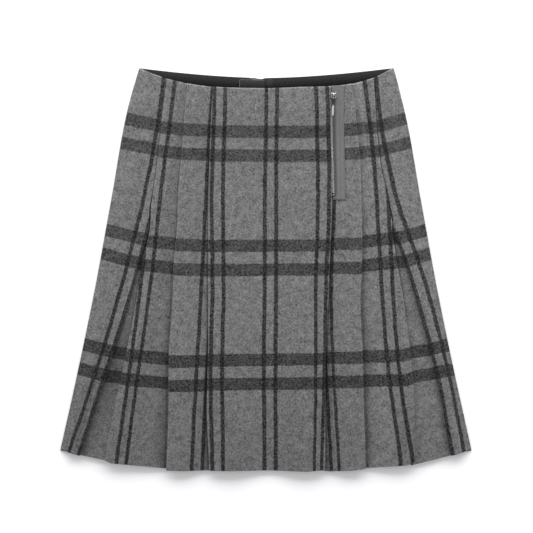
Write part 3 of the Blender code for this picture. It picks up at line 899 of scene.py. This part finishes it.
def within(distance, half, soft):
    """1 inside half a width, 0 outside it, over a soft edge."""
    return ((half - distance) * (1 / soft) + 0.5).math("MINIMUM", 1.0).math("MAXIMUM", 0.0)


def check_wool():
    """Brushed wool: a light ground, two dark bands each way, and a mottled nap."""
    sheen = {"Sheen Weight": 0.05, "Sheen Roughness": 0.6}
    paint = Paint("check_wool", {"Roughness": 1.0, "Specular IOR Level": 0.15, **sheen})
    ragged = paint.noise(1.9, 3.0, rough=0.65)
    drift = paint.noise(26.0, 2.0)
    warp = paint.attribute("warp") + drift * 2.4 + ragged * 2.5
    weft = paint.attribute("weft") + drift * 1.6 + ragged * 3.5
    shift = WARP_REPEAT / 2 - STRIPE_GAP / 2
    across = (warp + shift) % WARP_REPEAT - WARP_REPEAT / 2
    stripe = within(abs(abs(across) - STRIPE_GAP / 2), STRIPE / 2, CHECK_EDGE)
    down = (weft + (WEFT_REPEAT / 2 - FIRST_BAND - BAND_GAP / 2)) % WEFT_REPEAT - WEFT_REPEAT / 2
    band = within(abs(abs(down) - BAND_GAP / 2), BAND / 2, CHECK_EDGE)
    down_light = 1.0 - band * (weft * BAND_DEEPER + (1 - BAND_SHADE))
    across_light = 1.0 - stripe * (weft * STRIPE_DEEPER + (1 - STRIPE_SHADE))
    shade = down_light * across_light
    nap = paint.noise(2.2, 4.0, (1.0, 1.2, 1.0), 0.72)
    fibres = paint.noise(2.5, 4.0, (1.1, 1.0, 1.0), 0.72)
    cloud = paint.noise(9.0, 2.0)
    lint = (paint.noise(1.8, 2.0, rough=0.7) + 0.02).math("MAXIMUM", 0.0) * 0.05
    value = (shade * (1.0 + nap * 2.7 + cloud) + fibres * 2.0) * LIGHT_WOOL + lint
    # times the painted shade and highlights of each panel
    value = value.math("MAXIMUM", DARKEST_WOOL) * paint.attribute("lie")
    relief = nap * 0.7 + paint.noise(0.7, 1.0) * 0.4
    return paint.finish(value, paint.bump(relief, 0.5, 0.6))


def black_twill():
    """The facing's cloth: black, in fine diagonal ribs, with pale lint and a rubbed patch beside the
    label."""
    paint = Paint("black_twill", {"Roughness": 0.9, "Specular IOR Level": 0.08})
    x, y = paint.axes()
    rib = ((x + y) * (2 * np.pi / 0.9)).math("SINE")
    lint = (paint.noise(1.4, 2.0, rough=0.7) - 0.1).math("MAXIMUM", 0.0) * 0.08
    rubbed = within(abs(x - 5.0), 4.5, 4.0) * within(abs(y - (LENGTH / 2 - 20.0)), 7.0, 5.0)
    patchy = (paint.noise(2.6, 3.0) + 0.5) * rubbed * 0.012
    # times the painted shade inside the waist
    value = (rib * 0.003 + paint.noise(3.0, 3.0) * 0.01 + lint + patchy + 0.012) * paint.attribute("lie")
    relief = rib * 0.5 + paint.noise(0.8, 1.0) * 0.5
    return paint.finish(value, paint.bump(relief, 0.35, 0.2))


def label_satin():
    """The bare label: black satin with fine threads across it."""
    paint = Paint("label_satin", {"Roughness": 0.6, "Specular IOR Level": 0.12})
    y = paint.axes()[1]
    thread = (y * (2 * np.pi / 0.5)).math("SINE")
    slub = paint.noise(1.2, 2.0, (6.0, 1.0, 1.0))
    # times the painted shade inside the waist
    value = (thread * 0.002 + slub * 0.01 + 0.015) * paint.attribute("lie")
    return paint.finish(value, paint.bump(thread + slub, 0.25, 0.1))


def sewing_thread(name, tone):
    """Twisted grey thread."""
    paint = Paint(name, {"Roughness": 0.8, "Specular IOR Level": 0.2})
    x, y = paint.axes()
    twist = ((x + y * 1.7) * (2 * np.pi / 0.6)).math("SINE")
    value = (twist * 0.1 + paint.noise(2.0) * 0.25 + 1.0) * tone
    return paint.finish(value, paint.bump(twist, 0.4, 0.1))


def zip_ribbon():
    """The zip's tape: grey, woven in a fine zigzag, darker between its ribs."""
    paint = Paint("zip_ribbon", {"Roughness": 0.9, "Specular IOR Level": 0.15})
    x, y = paint.axes()
    zigzag = (abs((x % 1.6) - 0.8) + y) * (2 * np.pi / 0.8)
    weave = zigzag.math("SINE")
    value = weave * 0.01 + paint.noise(2.2, 3.0, rough=0.7) * 0.1 + 0.127
    value = value * paint.attribute("lie")
    return paint.finish(value, paint.bump(weave, 0.4, 0.15))


def dark_cord():
    """The sewn edge under the teeth: dark thread wound round a cord."""
    paint = Paint("dark_cord", {"Roughness": 0.8, "Specular IOR Level": 0.3})
    x, y = paint.axes()
    turns = ((y + x * 0.4) * (2 * np.pi / 1.0)).math("SINE")
    value = turns * 0.012 + paint.noise(1.6, 2.0) * 0.04 + 0.055
    return paint.finish(value, paint.bump(turns, 0.5, 0.25))


def nickel_plate(name, roughness):
    """Plated metal: darker in random patches of wear, with a fine brushed grain."""
    paint = Paint(name, {"Metallic": 1.0})
    wear_and_shade = paint.noise(1.8, 3.0, rough=0.65)
    grain = paint.noise(0.35, 1.0, (1.0, 5.0, 1.0))
    # times each part's tone, painted highlights and painted shade
    value = (wear_and_shade * 0.5 + grain * 0.2 + 0.72) * paint.attribute("lie")
    return paint.finish(value, paint.bump(grain, 0.2, 0.05), wear_and_shade * 0.3 + roughness)


# ---------------------------------------------------------------- small pieces


def skin(name, stacks, material, **attributes):
    """Closed solids, each a stack of rings of points: an array of solids by rings by points by 3.
    Neighbouring rings are joined by quads, and the first and last ring of a solid are filled in."""
    solids, rings, around = stacks.shape[:3]
    index = np.arange(solids * rings * around).reshape(solids, rings, around)
    here, there = index[:, :-1], index[:, 1:]
    quads = np.stack([here, np.roll(here, -1, 2), np.roll(there, -1, 2), there], axis=3)
    faces = quads.reshape(-1, 4).tolist()
    faces += index[:, 0, ::-1].tolist() + index[:, -1].tolist()
    return closed(name, stacks.reshape(-1, 3), faces, material, attributes)


def closed(name, points, faces, material, attributes):
    """A piece from points in millimetres, its faces turned to point out."""
    mesh = bpy.data.meshes.new(name)
    mesh.from_pydata((points * MM).tolist(), [], faces)
    work = bmesh.new()
    work.from_mesh(mesh)
    bmesh.ops.recalc_face_normals(work, faces=work.faces)
    work.to_mesh(mesh)
    work.free()
    return finished(name, mesh, material, attributes)


def ring(count, square):
    """Points of a round-cornered square of half size 1: cosine and sine to the power 1 / square."""
    angle = np.linspace(0, 2 * np.pi, count, endpoint=False) + np.pi / count
    turn = np.stack([np.cos(angle), np.sin(angle)], axis=1)
    return np.sign(turn) * np.abs(turn) ** (1 / square)


def rods(starts, ends, across, up, count=8, square=1.6):
    """Round-ended rods from starts to ends. Their rings are round-cornered rectangles, half across
    wide along the level direction and half up high, smaller towards both ends on a half circle."""
    starts, ends = np.array(starts, float), np.array(ends, float)
    way = np.array([0.0, 0.05, 0.2, 0.5, 0.8, 0.95, 1.0])
    size = np.array([0.35, 0.7, 0.94, 1.0, 0.94, 0.7, 0.35])
    along = ends - starts
    side = np.cross([0.0, 0.0, 1.0], along)
    side /= np.linalg.norm(side, axis=1, keepdims=True)
    rise = np.cross(along, side)
    rise /= np.linalg.norm(rise, axis=1, keepdims=True)
    section = ring(count, square)
    middle = starts[:, None] + along[:, None] * way[None, :, None]
    wide = (section[:, 0] * across)[None, None, :, None] * size[None, :, None, None] * side[:, None, None]
    high = (section[:, 1] * up)[None, None, :, None] * size[None, :, None, None] * rise[:, None, None]
    return middle[:, :, None] + wide + high


def front_relief(x, drop):
    """How far waves and creases raise the right front panel beside the zip."""
    height = swell(x, drop, way_out(x, drop))
    for crease in CREASES["front_right"]:
        height = height + crease_height(crease, x, drop)
    return height


def zip_ground(x, drop):
    """Height of the right front panel's upper face beside the zip."""
    stations = FRONT_PANELS["front_right"]
    waist = front_waist(x)
    share = (drop - waist) / (stations[2].hem - waist)
    start = line("right_box", drop) + stations[1].out
    end = line("right_knife", drop) - pleat_depth("right_knife", share) + stations[2].out
    level = 1 + 2 * smoothstep((x - start) / (end - start))
    rise = lift(way_out(x, drop), drop - waist, share)
    return layer_height(level, share) + rise + CLOTH / 2 + front_relief(x, drop)


def on_back(x, below):
    """A point inside the back waist, a distance below its edge, as x and y."""
    return np.stack(np.broadcast_arrays(x, LENGTH / 2 - back_waist(x) - below), axis=-1)


def waist_light(below):
    """Painted shade inside the waist: darker the deeper the cloth lies behind the front's edge."""
    return WAIST_LIT - WAIST_LIT_LOSS * np.clip(below / WAIST_LIT_REACH, 0.0, 1.0)


def inside_waist(x, below, height):
    """Middle points of a sheet inside the back waist, and the distance across it on each row."""
    place = on_back(x, below)
    middle = np.concatenate([place, height[..., None]], axis=2)
    return middle, distance_along(place[..., 0], place[..., 1])


def waist_facing(material):
    """The facing: a strip that follows the back waist edge, lower above the label, with a shallow
    trough along its upper row of stitches."""
    half = steps_between(2 * FACING_HALF_SPAN, COLUMN_STEP)
    x = (2 * half - 1)[None, :] * FACING_HALF_SPAN
    share = steps_between(FACING_WIDTH, FACING_STEP)[:, None]
    sag = FACING_SAG * bell(x - FACING_SAG_X, FACING_SAG_REACH, 4)
    below = FACING_INSET + sag * (1 - share) + FACING_WIDTH * share
    trough = bell((share - TROUGH_SHARE) * FACING_WIDTH, TROUGH_WIDTH)
    height = CLOTH + GAP + FACING / 2 - TROUGH_DEPTH * trough + 0.0 * x
    middle, s = inside_waist(x, below, height)
    rim = rim_distance(s, share * FACING_WIDTH, (1 - share) * FACING_WIDTH)
    # painted shade, deeper behind the front's edge
    piece = shell("facing_strip", middle, FACING, rim, material, lie=waist_light(below))
    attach(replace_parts(piece, "facing"), "skirt")


def bare_label(material, thread):
    """The label: a small sheet that bows up a little at its middle, sewn down at its left end and
    along its top."""
    label_width = LABEL_RIGHT - LABEL_LEFT
    across = steps_between(label_width, LABEL_STEP)[None, :]
    share = steps_between(LABEL_HEIGHT, LABEL_STEP)[:, None]
    x = LABEL_LEFT + label_width * across
    below = LABEL_TOP + LABEL_HEIGHT * share + 0.0 * x
    bow = LABEL_BOW * np.sin(np.pi * across) * np.sin(np.pi * share)
    foot = CLOTH + FACING + 2 * GAP
    middle, s = inside_waist(x, below, foot + LABEL / 2 + bow)
    rim = rim_distance(s, share * LABEL_HEIGHT, (1 - share) * LABEL_HEIGHT)
    # painted shade, deeper behind the front's edge
    piece = shell("bare_label", middle, LABEL, rim, material, lie=waist_light(below))
    top = foot + LABEL + THREAD_RISE
    down = np.linspace(LABEL_TOP + 1.0, LABEL_TOP + 9.6, END_STITCHES)
    starts = [on_back(LABEL_LEFT + 0.2, place) for place in down]
    ends = [on_back(LABEL_LEFT + 0.2, place + END_STITCH) for place in down]
    along = np.linspace(LABEL_LEFT + 1.5, LABEL_RIGHT - 3.0, TOP_STITCHES)
    starts += [on_back(place, LABEL_TOP + 0.8) for place in along]
    ends += [on_back(place + TOP_STITCH, LABEL_TOP + 0.8) for place in along]
    starts = np.column_stack([starts, np.full(len(starts), top)])
    ends = np.column_stack([ends, np.full(len(ends), top)])
    sewn = skin("label_stitches", rods(starts, ends, THREAD * 0.6, THREAD / 2), thread)
    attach(sewn, "skirt")
    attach(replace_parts(piece, "label"), "skirt")


def zip_tape(material, thread):
    """The zip's tape on the right front panel, with raised ribs down it and a row of stitches across
    its end."""
    share = steps_between(TAPE_END - TAPE_TOP, TAPE_ROW_STEP)[:, None]
    drop = TAPE_TOP + (TAPE_END - TAPE_TOP) * share
    across = TAPE_WIDTH * steps_between(TAPE_WIDTH, TAPE_COLUMN_STEP)[None, :]
    x = line("right_box", drop) + ZIP_CLEAR + across
    ribs = sum(bell(across - rib, RIB_WIDTH) for rib in TAPE_RIBS)
    height = zip_ground(x, drop) + GAP + TAPE / 2 + RIB_HEIGHT * ribs
    middle = np.stack([x, LENGTH / 2 - drop + 0 * x, height], axis=2)
    s = distance_along(x, height)
    rim = rim_distance(s, drop - TAPE_TOP, TAPE_END - drop)
    light = TAPE_LIGHT + RIB_LIGHT * ribs + 0.0 * x
    piece = shell("zip_ribbon", middle, TAPE, rim, material, lie=light)
    down = TAPE_END - TAPE_STITCH_UP
    places = line("right_box", down) + ZIP_CLEAR + np.arange(1.0, TAPE_WIDTH - 2.0, TAPE_STITCH_PITCH)
    top = zip_ground(places, down) + GAP + TAPE + THREAD_RISE
    starts = np.column_stack([places, np.full(len(places), LENGTH / 2 - down), top])
    ends = starts + TAPE_STITCH
    sewn = skin("tape_stitches", rods(starts, ends, THREAD * 0.8, THREAD / 2), thread)
    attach(sewn, "skirt")
    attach(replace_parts(piece, "zip_tape"), "skirt")


def chain_place(drop):
    """The chain's middle and the height that it lies at."""
    x = line("right_box", drop) + ZIP_CLEAR + BEAD_WIDTH / 2
    return x, zip_ground(x + BEAD_WIDTH / 2, drop) + TAPE + 2 * GAP


def zip_cord(material):
    """The sewn edge that carries the teeth: a low round-cornered section carried down the fold."""
    drop = np.arange(CHAIN_TOP - BEAD_START, CHAIN_END + 0.1, TAPE_ROW_STEP)
    x, z = chain_place(drop)
    section = ring(16, 1.5)
    size = np.ones(len(drop))
    size[[0, -1]] = BEAD_END_SIZE
    wide = x[:, None] + section[:, 0] * (BEAD_WIDTH / 2) * size[:, None]
    high = z[:, None] + BEAD_HEIGHT / 2 + section[:, 1] * (BEAD_HEIGHT / 2) * size[:, None]
    y = np.broadcast_to((LENGTH / 2 - drop)[:, None], wide.shape)
    piece = skin("zip_cord", np.stack([wide, y, high], axis=2)[None], material)
    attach(piece, "skirt")


def teeth_place(drop):
    """The middle of the teeth, which slant away from the fold, and the height of their foot."""
    down = (drop - CHAIN_TOP) / (CHAIN_END - CHAIN_TOP)
    x = line("right_box", drop) + TEETH_START + (TEETH_FINISH - TEETH_START) * down
    return x, chain_place(drop)[1]


def zip_teeth(metal):
    """Two rows of teeth that mesh: short rods with broad feet, half a pitch apart, and a stop that
    closes their lower end."""
    starts, ends, light = [], [], []
    for side, shift in ((-1, 0.0), (1, 0.5)):
        count = (CHAIN_END - STOP_LENGTH - CHAIN_TOP) // TEETH_PITCH
        drop = CHAIN_TOP + TEETH_PITCH * (shift + np.arange(count))
        x, z = teeth_place(drop)
        for places, reach in ((starts, TOOTH_FOOT), (ends, TOOTH_TIP)):
            places.append(np.column_stack([x + side * reach, LENGTH / 2 - drop, z + TOOTH_RISE]))
        # painted shade, darkest just under the slider
        wear_and_shade = TEETH_SHADED * (1 - smoothstep((drop - CHAIN_TOP) / TEETH_SHADED_REACH))
        light.append(TEETH_LIGHT * (1 - wear_and_shade))
    teeth = rods(np.concatenate(starts), np.concatenate(ends), *TOOTH_HALVES, 8, 1.8)
    light = np.repeat(np.concatenate(light), teeth[0, ..., 0].size)
    piece = skin("zip_teeth", teeth, metal, lie=light)
    x, z = teeth_place(CHAIN_END - STOP_LENGTH / 2)
    y = LENGTH / 2 - CHAIN_END + STOP_LENGTH / 2
    stop = rods([(x - 1.6, y - 0.3, z + 1.1)], [(x + 2.4, y + 0.5, z + 1.1)], 1.1, 0.9, 12, 2.0)
    end = skin("zip_stop", stop, metal, lie=STOP_LIGHT)
    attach(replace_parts(piece, "zip_chain"), "skirt")
    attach(end, "skirt")


def slider_outline(count):
    """The slider's plate seen from above: a round-cornered rectangle, narrower towards its tail,
    with a notch in its head between two prongs."""
    flat = ring(count, 2.2)
    y = flat[:, 1]
    waist = 1.0 - 0.22 * smoothstep(0.5 - y / 2) - 0.1 * bell(y + 0.1, 0.35)
    notch = 0.34 * bell(flat[:, 0], 0.34) * (y > 0)
    return np.stack([flat[:, 0] * waist, y * (1 - notch)], axis=1)


# A plate's rings, from its foot up and then in to its middle: height, size and how light they are,
# as painted highlights and painted shade.
PLATE_EDGE = (0.0, 0.12, 0.4, 0.75, 1.0, 0.95, 0.85, 0.85)
PLATE_GROW = (0.9, 0.985, 1.0, 0.96, 0.86, 0.7, 0.5, 0.12)
PLATE_LIGHT = (0.15, 0.2, 0.45, 0.7, 0.75, 0.2, 0.08, 0.08)
PLATE_POINTS = 36  # in each of them


def slider_plate(x, y, low, high, size):
    """A plate of the slider's outline between two heights, its edges rounded and its top dished."""
    outline = slider_outline(PLATE_POINTS) * (SLIDER_WIDTH / 2, SLIDER_LENGTH / 2) * size
    around = outline[None] * np.array(PLATE_GROW)[:, None, None] + (x, y)
    height = (low + (high - low) * np.array(PLATE_EDGE))[:, None, None]
    return np.concatenate([around, np.broadcast_to(height, (*around.shape[:2], 1))], axis=2)[None]


def zip_slider(metal):
    """The slider: two plates joined by a post, rails along its sides, and the bail, a strap carried
    along half an ellipse."""
    x, ground = chain_place(SLIDER_DROP)
    x = float(x) + SLIDER_SHIFT
    y = LENGTH / 2 - SLIDER_DROP
    top = float(ground) + SLIDER_HEIGHT
    plates = [
        slider_plate(x, y - SLIDER_BACK, ground, ground + LOWER_PLATE, 1.0),
        slider_plate(x, y - SLIDER_BACK, top - UPPER_PLATE, top, 1.0),
        slider_plate(x, y + POST_SHIFT, ground + POST_SUNK, top - POST_SUNK, POST_SIZE),
    ]
    # painted highlights and painted shade on the plates' rings
    light = np.tile(np.repeat(PLATE_LIGHT, PLATE_POINTS), len(plates))
    body = skin("slider_plates", np.concatenate(plates), metal, lie=light)
    tail, head = (
        [(x + side * out, y + up, ground + RAIL_RISE) for side in (-1, 1)]
        for out, up in (RAIL_TAIL, RAIL_HEAD)
    )
    rails = skin("slider_rails", rods(tail, head, *RAIL_HALVES, 8, 2.0), metal, lie=RAIL_LIGHT)
    a = np.linspace(0, np.pi, BAIL_RINGS)[:, None]
    section = ring(BAIL_POINTS, 2.0)
    inset = BAIL_THICK / 2 * (1 - section[:, 1])
    arch = np.stack(
        [
            x + section[:, 0] * BAIL_WIDTH / 2 + 0 * a,
            y + (BAIL_REACH / 2 - inset) * np.cos(a),
            top + (BAIL_RISE - inset) * np.sin(a) - BAIL_SUNK,
        ],
        axis=2,
    )
    # a painted highlight growing towards the bail's lower foot
    light = np.repeat(np.linspace(*BAIL_LIGHT, BAIL_RINGS), BAIL_POINTS)
    bail = skin("slider_bail", arch[None], metal, lie=light)
    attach(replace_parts(body, "zip_slider"), "skirt")
    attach(rails, "skirt")
    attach(bail, "skirt")
    return x, top


# The pull's bar below its eye: places down from the hinge line, half its width there, its thickness
# and how light it is painted: painted shade at its neck and a painted highlight on its tab.
BAR_PLACES = (-3.6, -4.6, -5.6, -7.0, -9.8, -13.6, -14.8, -15.8, -17.2, -22.0, -27.2, -29.0, -29.8, -30.1)
BAR_HALF = (1.3, 1.9, 1.7, 1.2, 1.05, 1.1, 1.25, 1.35, 1.45, 1.45, 1.45, 1.3, 1.0, 0.6)
BAR_THICK = (0.7, 0.9, 0.9, 0.9, 0.85, 0.9, 1.0, 1.1, 1.1, 1.0, 1.1, 1.0, 0.8, 0.5)
BAR_LIGHT = (0.3, 0.2, 0.15, 0.1, 0.08, 0.1, 0.35, 0.8, 1.0, 1.0, 1.0, 0.9, 0.8, 0.8)
EYE_HALF = 1.75  # middle of the eye's rim, across
EYE_TOP = 0.0
EYE_FOOT = -4.5
EYE_RIM = 0.55
# painted shade on the eye
EYE_LIGHT = 0.2
PULL_LEAN = -0.05  # the bar hangs a little to the left
BAR_POINTS = 12  # round each section of the bar
EYE_POINTS = 40  # along the eye's rim
RIM_POINTS = 10  # and round it


def pull_tab(x, slider_top, metal):
    """The pull: a round-cornered eye that hangs on the bail, and a bar whose round-cornered sections
    widen into a tab. Both are worked out flat, then tipped about the hinge line."""
    section = ring(BAR_POINTS, 2.2)
    half, thick = np.array(BAR_HALF)[:, None], np.array(BAR_THICK)[:, None]
    bar_y = np.broadcast_to(np.array(BAR_PLACES)[:, None], (len(BAR_PLACES), BAR_POINTS))
    bar = np.stack([section[:, 0] * half, bar_y, section[:, 1] * thick / 2], axis=2)
    path = ring(EYE_POINTS, 2.6)
    middle = path * (EYE_HALF, (EYE_TOP - EYE_FOOT) / 2) + (0.0, (EYE_TOP + EYE_FOOT) / 2)
    out = path / np.linalg.norm(path, axis=1, keepdims=True)
    tube = ring(RIM_POINTS, 2.0)
    rim = np.zeros((EYE_POINTS, RIM_POINTS, 3))
    rim[..., :2] = middle[:, None] + out[:, None] * (tube[:, 0] * EYE_RIM)[None, :, None]
    rim[..., 2] = tube[:, 1] * PULL_THICK / 2
    points = np.concatenate([bar.reshape(-1, 3), rim.reshape(-1, 3)])
    index = np.arange(bar[..., 0].size).reshape(bar.shape[:2])
    loop = index.size + np.arange(rim[..., 0].size).reshape(rim.shape[:2])
    faces = [index[0, ::-1].tolist(), index[-1].tolist()]
    for here, there in ((index[:-1], index[1:]), (loop, np.roll(loop, -1, 0))):
        quads = np.stack([here, np.roll(here, -1, 1), np.roll(there, -1, 1), there], axis=2)
        faces += quads.reshape(-1, 4).tolist()
    tip = -np.radians(PULL_TILT)
    y = points[:, 1] * np.cos(tip) - points[:, 2] * np.sin(tip) + LENGTH / 2 - SLIDER_DROP
    z = points[:, 1] * np.sin(tip) + points[:, 2] * np.cos(tip) + slider_top + PULL_AXIS_RISE
    points = np.stack([points[:, 0] + x - PULL_LEAN * points[:, 1], y, z], axis=1)
    # painted shade and highlight on the bar, painted shade on the eye
    light = np.concatenate([np.repeat(BAR_LIGHT, BAR_POINTS), np.full(loop.size, EYE_LIGHT)])
    piece = closed("pull_tab", points, faces, metal, {"lie": light})
    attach(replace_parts(piece, "zip_pull"), "pull")


wool = check_wool()
back_panel(wool)
for panel_name in FRONT_PANELS:
    front_panel(panel_name, wool)
waist_facing(black_twill())
bare_label(label_satin(), sewing_thread("label_thread", 0.17))
zip_tape(zip_ribbon(), sewing_thread("tape_thread", 0.13))
zip_cord(dark_cord())
zip_teeth(nickel_plate("teeth_metal", 0.4))
nickel = nickel_plate("nickel", 0.3)
pull_x, pull_ground = zip_slider(nickel)
pull_tab(pull_x, pull_ground, nickel)

# ---------------------------------------------------------------- floor, light and camera

FRAME_WIDTH = 773.0  # of the floor that the picture spans
CAMERA_X = 1.1
CAMERA_Y = 4.4
LENS = 100.0
SENSOR = 36.0
KEY_PLACE = (0.0, 2.6, 1.2)  # metres
KEY_WIDE = 6.0  # metres, along the waist
KEY_HIGH = 2.4
KEY_POWER = 250.0  # watts
FILL = 0.7
FLOOR_TONE = 0.86
FLOOR_REACH = 4.0  # metres
FLOOR_DROP = 0.05  # how far under the skirt the floor lies, so that no two faces share a plane


def floor_sheet():
    """A plain pale floor under the skirt."""
    paint = Paint("floor_paper", {"Roughness": 0.9})
    paper = paint.finish(paint.noise(120.0, 1.0) * 0.004 + FLOOR_TONE)
    turns = ((-1, -1), (1, -1), (1, 1), (-1, 1))
    corners = [(x * FLOOR_REACH, y * FLOOR_REACH, -FLOOR_DROP * MM) for x, y in turns]
    mesh = bpy.data.meshes.new("floor")
    mesh.from_pydata(corners, [], [(0, 1, 2, 3)])
    finished("floor", mesh, paper, {})


def light_and_camera():
    """A wide soft light from beyond the waist, an even white sky and a camera straight above."""
    scene = bpy.context.scene
    key = bpy.data.lights.new("key", "AREA")
    key.shape = "RECTANGLE"
    key.size = KEY_WIDE
    key.size_y = KEY_HIGH
    key.energy = KEY_POWER
    lamp = bpy.data.objects.new("key", key)
    lamp.location = KEY_PLACE
    lamp.rotation_euler = (-np.arctan2(KEY_PLACE[1], KEY_PLACE[2]), 0.0, 0.0)
    scene.collection.objects.link(lamp)
    world = bpy.data.worlds.new("studio")
    world.use_nodes = True
    sky = world.node_tree.nodes["Background"].inputs
    sky["Color"].default_value = (1.0, 1.0, 1.0, 1.0)
    sky["Strength"].default_value = FILL
    scene.world = world
    scene.view_settings.view_transform = "Standard"
    camera_data = bpy.data.cameras.new("camera")
    camera_data.lens = LENS
    camera_data.sensor_width = SENSOR
    camera = bpy.data.objects.new("camera", camera_data)
    camera.location = (CAMERA_X * MM, CAMERA_Y * MM, FRAME_WIDTH * MM * LENS / SENSOR)
    scene.collection.objects.link(camera)
    scene.camera = camera


floor_sheet()
light_and_camera()
